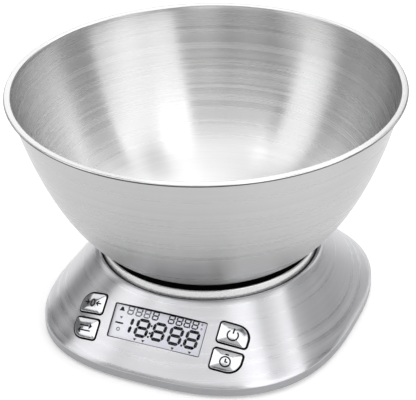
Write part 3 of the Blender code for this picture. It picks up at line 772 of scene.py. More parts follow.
def cut_away(piece: Piece, cutters: list[Form], matrix: Matrix | None = None) -> None:
    """Add a Boolean that removes closed shapes from a piece, then make the piece plain.

    Args:
        piece: The piece to cut; any modifiers it has are used first.
        cutters: The shapes to remove; they are freed.
        matrix: Where to move the shapes, if they weren't built in place.
    """
    tools = []
    for bm in cutters:
        tool = solid(f"{piece.name}_tool", bm, MARK_INK, matrix)
        modifier = piece.modifiers.new("cut", "BOOLEAN")
        modifier.operation = "DIFFERENCE"
        modifier.solver = "EXACT"
        modifier.object = tool
        tools.append(tool)
    flatten(piece)
    for tool in tools:
        mesh = tool.data
        bpy.data.objects.remove(tool)
        bpy.data.meshes.remove(mesh)
    finish = piece.data.materials[0]
    piece.data.materials.clear()
    piece.data.materials.append(finish)


def settle(piece: Piece, body: str, slot: str, *nodes: str) -> None:
    """Hide the CAD nodes that a finished piece stands for, hang it on the body that it rides on, and log it.

    Args:
        piece: The finished piece.
        body: The CAD body that it moves with.
        slot: Not used.
        *nodes: The CAD nodes that it stands for.
    """
    if nodes:
        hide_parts(*nodes)
    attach(piece, body)
    LOG.info("%s rides on %s", piece.name, body)


# ---------------------------------------------------------------- shapes made with nodes


class NodeShape:
    """A Geometry Nodes tree with named inputs, used once on each piece and then made plain.

    Attributes:
        name: Name of the tree.
        sizes: Kind of socket of each size input, by the input's name.
    """

    name = "shape"
    sizes: dict[str, str] = {}

    def __init__(self) -> None:
        """Start the tree with its inputs, then let the kind of shape fill it."""
        self.tree = bpy.data.node_groups.new(self.name, "GeometryNodeTree")
        self.keys = {}
        kinds = {"Places": "NodeSocketGeometry", "Finish": "NodeSocketMaterial", **self.sizes}
        for name, kind in kinds.items():
            socket = self.tree.interface.new_socket(name, in_out="INPUT", socket_type=kind)
            self.keys[name] = socket.identifier
        self.build()

    def build(self) -> None:
        """Fill the tree; each kind of shape has its own."""

    def close(self, geometry: Node, finish: Socket) -> None:
        """End the tree: real geometry, then its material.

        Args:
            geometry: The node that gives the shape.
            finish: The material to put on it.
        """
        self.tree.interface.new_socket("Geometry", in_out="OUTPUT", socket_type="NodeSocketGeometry")
        real = add_node(self.tree, "GeometryNodeRealizeInstances", {"Geometry": geometry})
        dressed = add_node(self.tree, "GeometryNodeSetMaterial", {"Geometry": real, "Material": finish})
        add_node(self.tree, "NodeGroupOutput", {0: dressed})

    def apply(self, name: str, places: bpy.types.Mesh, finish: Finish, values: dict, sharp: float = 35.0,
              matrix: Matrix | None = None) -> Piece:
        """Run the tree on a mesh of places and return a plain piece.

        Args:
            name: Name of the piece.
            places: A mesh whose vertices are the places.
            finish: Finish of the piece.
            values: Value of each named input.
            sharp: Edges above this angle in degrees stay crisp.
            matrix: Where to move the finished shape.

        Returns:
            The piece, at the origin with its place in its mesh.
        """
        piece = make_object(name, places)
        modifier = piece.modifiers.new(self.name, "NODES")
        modifier.node_group = self.tree
        for key, value in {"Finish": finish.make(), **values}.items():
            modifier[self.keys[key]] = value
        flatten(piece, sharp)
        while piece.data.materials[0] is None:
            piece.data.materials.pop(index=0)
        if matrix is not None:
            piece.data.transform(matrix)
        return piece


class Turned(NodeShape):
    """Spins a profile of (radius, height) points about Z and lays a copy at every place."""

    name = "turned_pieces"
    sizes = {"Profile": "NodeSocketObject", "Segments": "NodeSocketInt", "Weld": "NodeSocketFloat"}

    def build(self) -> None:
        """Bend a grid, one row for each profile point, round the axis and weld its seam and poles."""
        tree = self.tree
        given = add_node(tree, "NodeGroupInput").outputs
        profile = add_node(tree, "GeometryNodeObjectInfo", {"Object": given["Profile"]}).outputs["Geometry"]
        rows = add_node(tree, "GeometryNodeAttributeDomainSize", {"Geometry": profile})
        columns = add_node(tree, "ShaderNodeMath", {0: given["Segments"], 1: 1.0}, operation="ADD")
        grid = add_node(tree, "GeometryNodeMeshGrid", {"Vertices X": rows.outputs["Point Count"],
                                                       "Vertices Y": columns})
        index = add_node(tree, "GeometryNodeInputIndex")
        middle = add_node(tree, "ShaderNodeMath", {0: index, 1: 0.5}, operation="ADD")
        ratio = add_node(tree, "ShaderNodeMath", {0: middle, 1: columns}, operation="DIVIDE")
        row = add_node(tree, "ShaderNodeMath", {0: ratio}, operation="FLOOR")
        column = add_node(tree, "ShaderNodeMath", {0: index, 1: columns}, operation="MODULO")
        part = add_node(tree, "ShaderNodeMath", {0: column, 1: given["Segments"]}, operation="DIVIDE")
        angle = add_node(tree, "ShaderNodeMath", {0: part, 1: 2 * pi}, operation="MULTIPLY")
        here = add_node(tree, "GeometryNodeInputPosition")
        point = add_node(tree, "GeometryNodeSampleIndex", {"Geometry": profile, "Value": here, "Index": row},
                         data_type="FLOAT_VECTOR")
        place = add_node(tree, "ShaderNodeVectorRotate", {"Vector": point, "Angle": angle},
                         rotation_type="Z_AXIS")
        bent = add_node(tree, "GeometryNodeSetPosition", {"Geometry": grid, "Position": place})
        welded = add_node(tree, "GeometryNodeMergeByDistance", {"Geometry": bent, "Distance": given["Weld"]})
        laid = add_node(tree, "GeometryNodeInstanceOnPoints", {"Points": given["Places"], "Instance": welded})
        self.close(laid, given["Finish"])

    def turn(self, name: str, profile: list[Pair], finish: Finish, segments: int,
             places: list[Place] | None = None, sharp: float = 35.0) -> Piece:
        """Make a turned piece, or the same one at several places.

        Args:
            name: Name of the piece.
            profile: Radius and height of each point of the section.
            finish: Finish of the piece.
            segments: Facets in one turn.
            places: Where the copies stand; the origin if not given.
            sharp: Edges above this angle in degrees stay crisp.

        Returns:
            The piece.
        """
        section = bpy.data.meshes.new(f"{name}_section")
        section.from_pydata([(radius, 0.0, height) for radius, height in profile], [], [])
        holder = make_object(section.name, section)
        spots = bpy.data.meshes.new(f"{name}_places")
        spots.from_pydata(places or [(0.0, 0.0, 0.0)], [], [])
        values = {"Profile": holder, "Segments": segments, "Weld": WELD}
        piece = self.apply(name, spots, finish, values, sharp)
        bpy.data.objects.remove(holder)
        bpy.data.meshes.remove(section)
        return piece


class Segments(NodeShape):
    """Lays pointed display bars: each place has its own length, width and turn."""

    name = "display_segments"
    sizes = {"Thickness": "NodeSocketFloat", "Lean": "NodeSocketFloat"}

    def build(self) -> None:
        """Put a six-sided slip at each place, then stretch it to that place's length and width."""
        tree = self.tree
        given = add_node(tree, "NodeGroupInput").outputs
        slip = add_node(tree, "GeometryNodeMeshCylinder", {"Vertices": 6, "Radius": 1.0,
                                                           "Depth": given["Thickness"]})
        here = add_node(tree, "GeometryNodeInputPosition")
        kept, spots = (add_node(tree, "GeometryNodeStoreNamedAttribute",
                                {"Geometry": source, "Name": name, "Value": here},
                                data_type="FLOAT_VECTOR", domain="POINT")
                       for name, source in (("corner", slip), ("spot", given["Places"])))
        laid = add_node(tree, "GeometryNodeInstanceOnPoints", {"Points": spots, "Instance": kept})
        real = add_node(tree, "GeometryNodeRealizeInstances", {"Geometry": laid})
        corner, spot, size = (add_node(tree, "GeometryNodeInputNamedAttribute", {"Name": name},
                                       data_type="FLOAT_VECTOR") for name in ("corner", "spot", "size"))
        side = add_node(tree, "ShaderNodeVectorMath", {0: corner}, operation="SIGN")
        away = add_node(tree, "ShaderNodeVectorMath", {0: corner}, operation="ABSOLUTE")
        off_axis = add_node(tree, "ShaderNodeSeparateXYZ", {0: away}).outputs["Y"]
        length, width, turn = add_node(tree, "ShaderNodeSeparateXYZ", {0: size}).outputs
        wide = add_node(tree, "ShaderNodeMath", {0: off_axis, 1: 0.5}, operation="GREATER_THAN")
        half = add_node(tree, "ShaderNodeMath", {0: width, 1: 0.5}, operation="MULTIPLY")
        bevel = add_node(tree, "ShaderNodeMath", {0: wide, 1: half}, operation="MULTIPLY")
        tip = add_node(tree, "ShaderNodeMath", {0: length, 1: 0.5}, operation="MULTIPLY")
        reach = add_node(tree, "ShaderNodeMath", {0: tip, 1: bevel}, operation="SUBTRACT")
        deep = add_node(tree, "ShaderNodeMath", {0: given["Thickness"], 1: 0.5}, operation="MULTIPLY")
        halves = add_node(tree, "ShaderNodeCombineXYZ", {"X": reach, "Y": bevel, "Z": deep})
        local = add_node(tree, "ShaderNodeVectorMath", {0: side, 1: halves}, operation="MULTIPLY")
        turned = add_node(tree, "ShaderNodeVectorRotate", {"Vector": local, "Angle": turn},
                          rotation_type="Z_AXIS")
        place = add_node(tree, "ShaderNodeVectorMath", {0: turned, 1: spot}, operation="ADD")
        x, y, z = add_node(tree, "ShaderNodeSeparateXYZ", {0: place}).outputs
        leant = add_node(tree, "ShaderNodeMath", {0: y, 1: given["Lean"], 2: x}, operation="MULTIPLY_ADD")
        spread = add_node(tree, "ShaderNodeCombineXYZ", {"X": leant, "Y": y, "Z": z})
        moved = add_node(tree, "GeometryNodeSetPosition", {"Geometry": real, "Position": spread})
        self.close(moved, given["Finish"])

    def lay(self, name: str, bars: list[tuple], finish: Finish, height: float, thickness: float,
            lean: float, matrix: Matrix) -> Piece:
        """Make the bars as one piece.

        Args:
            name: Name of the piece.
            bars: Place x, place y, length, width and turn of each bar.
            finish: Finish of the bars.
            height: Height of the bars' middle over the panel plane.
            thickness: How thick they are.
            lean: Sideways lean for each unit of height.
            matrix: The panel's place.

        Returns:
            The piece.
        """
        spots = bpy.data.meshes.new(f"{name}_places")
        spots.from_pydata([(x, y, height) for x, y, _, _, _ in bars], [], [])
        size = spots.attributes.new("size", "FLOAT_VECTOR", "POINT")
        for item, (_, _, length, width, turn) in zip(size.data, bars):
            item.vector = (length, width, turn)
        return self.apply(name, spots, finish, {"Thickness": thickness, "Lean": lean}, matrix=matrix)


# ---------------------------------------------------------------- bowl and platform


@dataclass
class Bowl:
    """The lift-off bowl: a spun wall with a flat floor and a hemmed flat rim.

    Attributes:
        floor_radius: Edge of the flat floor.
        wall_radius: Outside of the wall, just under the rim.
        sheet: Thickness of the steel.
        hem: Thickness of the folded rim.
        lean: Lean of the wall's top from upright, in degrees.
        low_pull: How flat the wall leaves the floor.
        high_pull: How straight the wall meets the rim.
        fold: How far the hem's fold stands out from the wall.
        inner_edge: Radius of the rim's inner edge.
        steps: Facets along the wall.
    """

    floor_radius: float = 38.5 * MM
    wall_radius: float = 104.9 * MM
    sheet: float = 0.8 * MM
    hem: float = 1.5 * MM
    lean: float = 9.8
    low_pull: float = 43.0 * MM
    high_pull: float = 14.3 * MM
    fold: float = 0.5 * MM
    inner_edge: float = 0.8 * MM
    steps: int = 56

    def wall(self, floor: float, top: float, inset: float) -> list[Pair]:
        """Points of the wall from the floor's edge to the rim, offset inwards.

        Args:
            floor: Height of the floor's underside.
            top: Height where the wall ends.
            inset: Offset towards the inside.

        Returns:
            Radius and height of each point.
        """
        start = Vector((self.floor_radius, floor))
        end = Vector((self.wall_radius, top))
        first = start + Vector((self.low_pull, 0.0))
        second = end - self.high_pull * Vector((sin(radians(self.lean)), cos(radians(self.lean))))
        points = []
        for step in range(self.steps + 1):
            t = step / self.steps
            s = 1 - t
            place = s ** 3 * start + 3 * s * s * t * first + 3 * s * t * t * second + t ** 3 * end
            way = s * s * (first - start) + 2 * s * t * (second - first) + t * t * (end - second)
            way.normalize()
            points.append((place.x - inset * way.y, place.y + inset * way.x))
        return points

    def build(self, turned: Turned) -> None:
        """Make the bowl and give its inside, its back and its hem their own finishes; the back's darker steel
        and the dark line under the hem are painted shade.

        The flat floor has the back's darker steel, with its painted shade, on both of its sides.

        Args:
            turned: Maker of turned pieces.
        """
        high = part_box("bowl_rim")[1]
        rim, top, floor = high.x, high.z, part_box("bowl_dish")[0].z
        wall_top = top - self.hem - 0.6 * MM
        round_off = self.hem / 2
        outside = self.wall(floor, wall_top, 0.0)
        inside = self.wall(floor, wall_top, self.sheet)
        fold = (self.wall_radius + self.fold, top - self.hem)
        hem = arc((rim - round_off, top - round_off), round_off, -90, 90, 12)
        shoulder = arc((inside[-1][0] + self.inner_edge, top - self.inner_edge), self.inner_edge, 90, 180, 8)
        skin = [(0.0, floor), *outside, fold, *hem, *shoulder, *reversed(inside), (0.0, floor + self.sheet)]
        bowl = turned.turn("bowl_spun_shell", skin, BOWL_STEEL, 240, sharp=50.0)
        for finish in (BOWL_BACK_SHADE_STEEL, HEM_SHADE):
            bowl.data.materials.append(finish.make())
        # Painted shade: faces of the back and of the flat floor take the darker steel, darkest at the foot,
        # and the lower half of the hem takes a dark line.
        painted_shade_top = top - round_off + 0.2 * MM
        for face in bowl.data.polygons:
            outward = face.center.xy.dot(face.normal.xy) > WELD
            on_floor = face.center.xy.length < self.floor_radius
            if (outward or on_floor) and face.center.z < painted_shade_top:
                face.material_index = 1 if face.center.z < wall_top else 2
        settle(bowl, "bowl", "brushed_steel", "bowl_dish", "bowl_wall", "bowl_rim")


@dataclass
class Platform:
    """The round platform under the bowl: a steel ring with a dished black seat.

    Attributes:
        wall: Thickness of the ring.
        dish_edge: Width of the seat's raised edge.
        dish_slope: Radius and height of two points on the slope inside that edge.
        dish_floor: Radius where the seat becomes flat.
        flat: Height of the flat.
        well: Radius and depth of the shallow round well in its middle.
        chamfer: Chamfer of the seat's outer edge.
    """

    wall: float = 1.4 * MM
    dish_edge: float = 0.8 * MM
    dish_slope: tuple[Pair, Pair] = ((57.0 * MM, 41.9 * MM), (55.0 * MM, 41.1 * MM))
    dish_floor: float = 52.0 * MM
    flat: float = 40.7 * MM
    well: Pair = (20.0 * MM, 0.2 * MM)
    chamfer: float = 0.3 * MM

    def build(self, turned: Turned) -> None:
        """Make the ring and the seat.

        Args:
            turned: Maker of turned pieces.
        """
        low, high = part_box("platform_ring")
        outer, top, foot = high.x, high.z, low.z
        inner = outer - self.wall
        lip = arc((outer - self.wall / 2, top - self.wall / 2), self.wall / 2, 0, 180, 14)
        ring = turned.turn("platform_ring_turned", [(outer, foot), *lip, (inner, foot), (outer, foot)],
                           RING_STEEL, 200)
        settle(ring, "platform", "satin_steel", "platform_ring")
        low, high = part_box("platform_seat")
        edge, rise, base = high.x, high.z, low.z
        radius, depth = self.well
        outside = [(0.0, base), (edge, base), (edge, rise - self.chamfer), (edge - self.chamfer, rise)]
        dish = [(edge - self.dish_edge, rise), *self.dish_slope, (self.dish_floor, self.flat),
                (radius + depth, self.flat), (radius, self.flat - depth), (0.0, self.flat - depth)]
        seat = turned.turn("platform_seat_dish", outside + dish, BLACK_ABS, 160)
        settle(seat, "platform", "black_plastic", "platform_seat")


# ---------------------------------------------------------------- cover


@dataclass
class Cover:
    """The brushed cover: a rounded square at the skirt that rises in straight lines to a round opening.

    Attributes:
        half_x: Half the width at the skirt.
        half_y: Half the depth at the skirt.
        power: 2 gives an ellipse in plan, higher is squarer.
        skirt_low: Bottom of the upright skirt.
        skirt_high: Top of the skirt.
        slope_top: Height at which the slope would meet the opening.
        opening: Radius that the slope runs to.
        lip: Radius of the rolled edge of the opening.
        sheet: Thickness of the steel.
        bend: Radius of the bend from the skirt to the slope.
        slope_ends: Rise at which the slope starts and ends between its bends.
        segments: Facets round the cover.
        slope_rows: Facets up the slope.
    """

    half_x: float = 87.5 * MM
    half_y: float = 92.0 * MM
    power: float = 2.7
    skirt_low: float = 2.5 * MM
    skirt_high: float = 7.5 * MM
    slope_top: float = 41.6 * MM
    opening: float = 61.6 * MM
    lip: float = 1.1 * MM
    sheet: float = 0.6 * MM
    bend: float = 0.5 * MM
    slope_ends: Pair = (0.014, 0.93)
    segments: int = 224
    slope_rows: int = 26

    def plan_radius(self, angle: float) -> float:
        """Find how far the skirt stands from the axis.

        Args:
            angle: Polar angle in plan.

        Returns:
            The distance.
        """
        across = abs(cos(angle) / self.half_x) ** self.power
        along = abs(sin(angle) / self.half_y) ** self.power
        return (across + along) ** (-1 / self.power)

    def radius(self, angle: float, rise: float) -> float:
        """Distance from the axis to the slope, from the skirt at 0 to the opening at 1."""
        return (1 - rise) * self.plan_radius(angle) + rise * self.opening

    def height(self, rise: float) -> float:
        """Height of the slope, from the skirt at 0 to the opening at 1."""
        return self.skirt_high + (self.slope_top - self.skirt_high) * rise

    def above(self, panel: Matrix, u: float, v: float) -> float:
        """Find how far the slope stands over the panel plane.

        Args:
            panel: The panel's place.
            u: Place across the panel.
            v: Place up the panel.

        Returns:
            The height over the plane, by halving the gap.
        """
        low, high = -30 * MM, 12 * MM
        start = panel @ Vector((u, v, 0.0))
        out = panel.to_3x3() @ Vector((0.0, 0.0, 1.0))
        for _ in range(30):
            middle = (low + high) / 2
            place = start + out * middle
            rise = (place.z - self.skirt_high) / (self.slope_top - self.skirt_high)
            inside = hypot(place.x, place.y) < self.radius(atan2(place.y, place.x), rise)
            low, high = (middle, high) if inside else (low, middle)
        return low

    def rows(self) -> list[Place]:
        """List the rows of the skin, from the skirt's foot to the rolled edge.

        Returns:
            Rise, inset and height of each row.
        """
        bend = self.bend
        rows = [(0.0, 0.0, self.skirt_low), (0.0, 0.0, self.skirt_low + 1.5 * MM),
                (0.0, 0.0, self.skirt_high - 1.2 * bend)]
        for turn in (15, 30, 45):
            inset = bend * (1 - cos(radians(turn)))
            rows.append((0.0, inset, self.skirt_high - bend + bend * sin(radians(turn))))
        first, last = self.slope_ends
        for step in range(self.slope_rows + 1):
            rise = first + (last - first) * step / self.slope_rows
            rows.append((rise, 0.0, self.height(rise)))
        centre = (self.opening - 0.1 * MM + self.lip, self.height(last) - 0.35 * MM)
        for turn in (50, 70, 90, 110, 130, 150, 165, 180):
            radius = centre[0] + self.lip * cos(radians(turn))
            rows.append((1.0, self.opening - radius, centre[1] + self.lip * sin(radians(turn))))
        rows.append((1.0, rows[-1][1], centre[1] - 1.5 * MM))
        return rows

    def build(self, panel: Matrix, holes: list[list[Pair]]) -> None:
        """Make the cover with its window and button holes.

        Args:
            panel: The panel's place.
            holes: Outline of each hole on the panel plane.
        """
        bm = bmesh.new()
        loops = []
        for rise, inset, height in self.rows():
            loop = []
            for index in range(self.segments):
                angle = 2 * pi * index / self.segments
                radius = self.radius(angle, rise) - inset
                loop.append(bm.verts.new((radius * cos(angle), radius * sin(angle), height)))
            loops.append(loop)
        join_rows(bm, loops)
        skin = solid("cover_pressed_skin", bm, COVER_STEEL)
        sheet = skin.modifiers.new("sheet", "SOLIDIFY")
        sheet.thickness = self.sheet
        sheet.offset = -1.0
        cut_away(skin, [prism(outline, -14 * MM, 9 * MM) for outline in holes], panel)
        # Painted shade: the skirt's faces take the darker steel.
        skin.data.materials.append(COVER_BAND_SHADE.make())
        for face in skin.data.polygons:
            if face.center.z < self.skirt_high - self.bend:
                face.material_index = len(skin.data.materials) - 1
        settle(skin, "housing", "brushed_steel", "top_cover")


# ---------------------------------------------------------------- panel


class Mark(Enum):
    """Generic signs on the buttons."""

    ZERO = "tare"
    SWAP = "unit"
    POWER = "power"
    CLOCK = "timer"


@dataclass
class Panel:
    """The sloping control panel: local X is world X, local Y runs up the slope, local Z points out.

    Attributes:
        centre: Middle of the display window.
        tilt: Slope of the panel in degrees.
        window: Size of the window in the cover.
        window_corner: Radius of the window's corners.
        button: Size of a button.
        column: Distance of the buttons from the middle.
        top_row: Height of the upper buttons up the slope.
        bottom_row: Height of the lower buttons.
        outer_corner: Radius of the corner that faces away from the display.
        corner: Radius of the other three corners.
        clearance: Gap round each button.
    """

    centre: Place = (0.0, -72.6 * MM, 24.8 * MM)
    tilt: float = 44.5
    window: Pair = (54.2 * MM, 19.1 * MM)
    window_corner: float = 0.9 * MM
    button: Pair = (16.2 * MM, 12.0 * MM)
    column: float = 41.3 * MM
    top_row: float = 6.8 * MM
    bottom_row: float = -7.7 * MM
    outer_corner: float = 7.0 * MM
    corner: float = 1.9 * MM
    clearance: float = 0.35 * MM

    @property
    def matrix(self) -> Matrix:
        """The panel's place."""
        return Matrix.Translation(self.centre) @ Matrix.Rotation(radians(self.tilt), 4, "X")

    def button_places(self) -> list[tuple[Mark, Pair, int]]:
        """Mark, place and outer corner of each button."""
        return [(Mark.ZERO, (-self.column, self.top_row), 1), (Mark.SWAP, (-self.column, self.bottom_row), 2),
                (Mark.POWER, (self.column, self.top_row), 0), (Mark.CLOCK, (self.column, self.bottom_row), 3)]

    def button_outline(self, outer: int, grown: float) -> list[Pair]:
        """Outline of a button, or of its hole where grown is more than nothing."""
        radii = [(self.outer_corner if index == outer else self.corner) + grown for index in range(4)]
        return rounded_rectangle(self.button[0] + 2 * grown, self.button[1] + 2 * grown, radii, 9)

    def holes(self) -> list[list[Pair]]:
        """Outline the window and the four button holes.

        Returns:
            The outlines on the panel plane.
        """
        found = [rounded_rectangle(*self.window, [self.window_corner] * 4, 6)]
        for _, (u, v), outer in self.button_places():
            found.append([(u + x, v + y) for x, y in self.button_outline(outer, self.clearance)])
        return found


@dataclass
class Buttons:
    """Four crowned chrome buttons that follow the cover, each with an inked sign.

    Attributes:
        proud: How far the rim of a cap stands over the cover.
        crown: Further rise of its middle.
        skirt: Depth of its side below the cover.
        round_off: Radius of its upper edge.
        ink: Thickness of the ink.
        stroke: Width of a line of the sign.
        sign_scale: Enlargement of the sign.
        ledge: Width of the black skirt that shows round the chrome top.
    """

    proud: float = 0.9 * MM
    crown: float = 0.7 * MM
    skirt: float = 3.4 * MM
    round_off: float = 0.45 * MM
    ink: float = 0.02 * MM
    stroke: float = 0.75 * MM
    sign_scale: float = 1.2
    # ledge: Width of the black skirt that shows round the chrome top, painted shade of the gap round the key.
    ledge: float = 0.6 * MM

    def strokes(self, mark: Mark) -> list[list[Pair]]:
        """Draw a sign.

        Args:
            mark: Which sign.

        Returns:
            Its lines, in millimetres from the button's middle; a closed line repeats its first point.
        """
        if mark is Mark.POWER:
            return [arc((0, -0.3), 2.3, 130, 410, 22), [(0.0, 0.4), (0.0, 2.9)]]
        if mark is Mark.CLOCK:
            return [arc((0, -0.4), 2.2, 0, 360, 28), [(0.0, 1.0), (0.0, -0.5), (1.1, -0.5)],
                    [(-0.8, 2.8), (0.8, 2.8)]]
        if mark is Mark.ZERO:
            ring = [(1.0 * x, 1.7 * y) for x, y in arc((0, 0), 1.0, 0, 360, 24)]
            return [ring, [(-4.6, 0.0), (-2.2, 0.0)], [(-3.3, 1.1), (-2.2, 0.0), (-3.3, -1.1)],
                    [(4.6, 0.0), (2.2, 0.0)], [(3.3, 1.1), (2.2, 0.0), (3.3, -1.1)]]
        return [[(-3.2, 1.0), (3.2, 1.0)], [(2.1, 2.1), (3.2, 1.0), (2.1, -0.1)],
                [(3.2, -1.2), (-3.2, -1.2)], [(-2.1, -0.1), (-3.2, -1.2), (-2.1, -2.3)]]

    def rings(self) -> list[Pair]:
        """List the rings of a chrome top, from its foot to near its middle.

        Returns:
            Scale and lift of each ring.
        """
        half = 7.0 * MM
        edge = 1.0 - self.round_off / half
        rings = [(1.0, 0.0), (1.0, self.proud - self.round_off)]
        for turn in (22, 45, 68, 90):
            rings.append((edge + (1 - edge) * cos(radians(turn)),
                          self.proud - self.round_off * (1 - sin(radians(turn)))))
        for scale in (0.9, 0.86, 0.8, 0.72, 0.62, 0.5, 0.36, 0.2, 0.08):
            rings.append((scale, self.proud + self.crown * (1 - (scale / edge) ** 2.6)))
        return rings

    def cap(self, cover: Cover, panel: Panel, place: Pair, outline: list[Pair],
            rings: list[Pair]) -> Form:
        """Shape one cap over the cover.

        Args:
            cover: The cover that it follows.
            panel: The panel that it sits on.
            place: Its middle on the panel.
            outline: Its outline round that middle.
            rings: Scale of the outline and lift over the cover, from the foot up.

        Returns:
            A closed shape in the panel's own axes.
        """
        u, v = place
        bm = bmesh.new()
        loops = []
        for scale, lift in rings:
            loops.append([bm.verts.new((u + x * scale, v + y * scale, lift + cover.above(
                panel.matrix, u + x * scale, v + y * scale))) for x, y in outline])
        join_rows(bm, loops)
        middle = cover.above(panel.matrix, u, v)
        for loop, lift in ((loops[-1], rings[-1][1]), (loops[0], rings[0][1])):
            centre = bm.verts.new((u, v, middle + lift))
            for i in range(len(loop)):
                bm.faces.new((loop[i], loop[(i + 1) % len(loop)], centre))
        return bm

    def sign(self, surface: BVHTree, place: Pair, lines: list[list[Pair]]) -> Form:
        """Lay the lines of a sign on a cap as thin ink.

        Args:
            surface: The cap, in the panel's own axes.
            place: Middle of the cap.
            lines: The lines in millimetres.

        Returns:
            Closed strips that follow the cap.
        """
        bm = bmesh.new()
        for line in lines:
            points = [Vector(point) * MM * self.sign_scale for point in line]
            closed = (points[0] - points[-1]).length < WELD
            fine = []
            for a, b in zip(points, points[1:]):
                steps = max(1, round((b - a).length / (0.5 * MM)))
                fine += [a.lerp(b, step / steps) for step in range(steps)]
            if not closed:
                fine.append(points[-1])
            sides = []
            count = len(fine)
            for index, point in enumerate(fine):
                before = fine[(index - 1) % count] if closed or index else point
                after = fine[(index + 1) % count] if closed or index < count - 1 else point
                way_in = ((point - before) if before is not point else (after - point)).normalized()
                way_out = (after - point).normalized() if after is not point else way_in
                way = (way_in + way_out).normalized()
                reach = self.stroke / 2 / max(way.dot(way_out), 0.5)
                side = Vector((-way.y, way.x)) * reach
                sides.append((point + side, point - side))
            rails = []
            for left, right in sides:
                corner = []
                sunk = -3 * self.ink
                for spot, lift in ((left, sunk), (right, sunk), (right, self.ink), (left, self.ink)):
                    x, y = place[0] + spot.x, place[1] + spot.y
                    top = surface.ray_cast(Vector((x, y, 50 * MM)), Vector((0, 0, -1)))[0].z
                    corner.append(bm.verts.new((x, y, top + lift)))
                rails.append(corner)
            pairs = list(zip(rails, rails[1:]))
            if closed:
                pairs.append((rails[-1], rails[0]))
            for a, b in pairs:
                for i in range(4):
                    j = (i + 1) % 4
                    bm.faces.new((a[i], a[j], b[j], b[i]))
            if not closed:
                bm.faces.new(rails[0])
                bm.faces.new(list(reversed(rails[-1])))
        return bm

    def build(self, cover: Cover, panel: Panel) -> None:
        """Make the four caps, their skirts and their signs, each riding on its own key.

        Args:
            cover: The cover that they follow.
            panel: The panel that they sit on.
        """
        side = [(1.0, -self.skirt), (1.0, 0.25 * MM), (0.985, 0.35 * MM), (0.5, 0.35 * MM)]
        for mark, place, outer in panel.button_places():
            name = mark.value
            shape = self.cap(cover, panel, place, panel.button_outline(outer, -self.ledge), self.rings())
            surface = BVHTree.FromBMesh(shape)
            cap = solid(f"button_cap_{name}", shape, CHROME, panel.matrix, sharp=50.0)
            settle(cap, f"{name}_key", "chrome", f"button_{name}")
            # The black band of the skirt round the chrome top is painted shade: a dark piece where the gap
            # round the key lies in shade.
            shape = self.cap(cover, panel, place, panel.button_outline(outer, 0.0), side)
            skirt = solid(f"button_skirt_{name}", shape, KEY_SHADE_SKIRT, panel.matrix, sharp=50.0)
            settle(skirt, f"{name}_key", "black_plastic")
            ink = self.sign(surface, place, self.strokes(mark))
            sign = solid(f"button_sign_{name}", ink, MARK_INK, panel.matrix)
            settle(sign, f"{name}_key", "black_plastic")


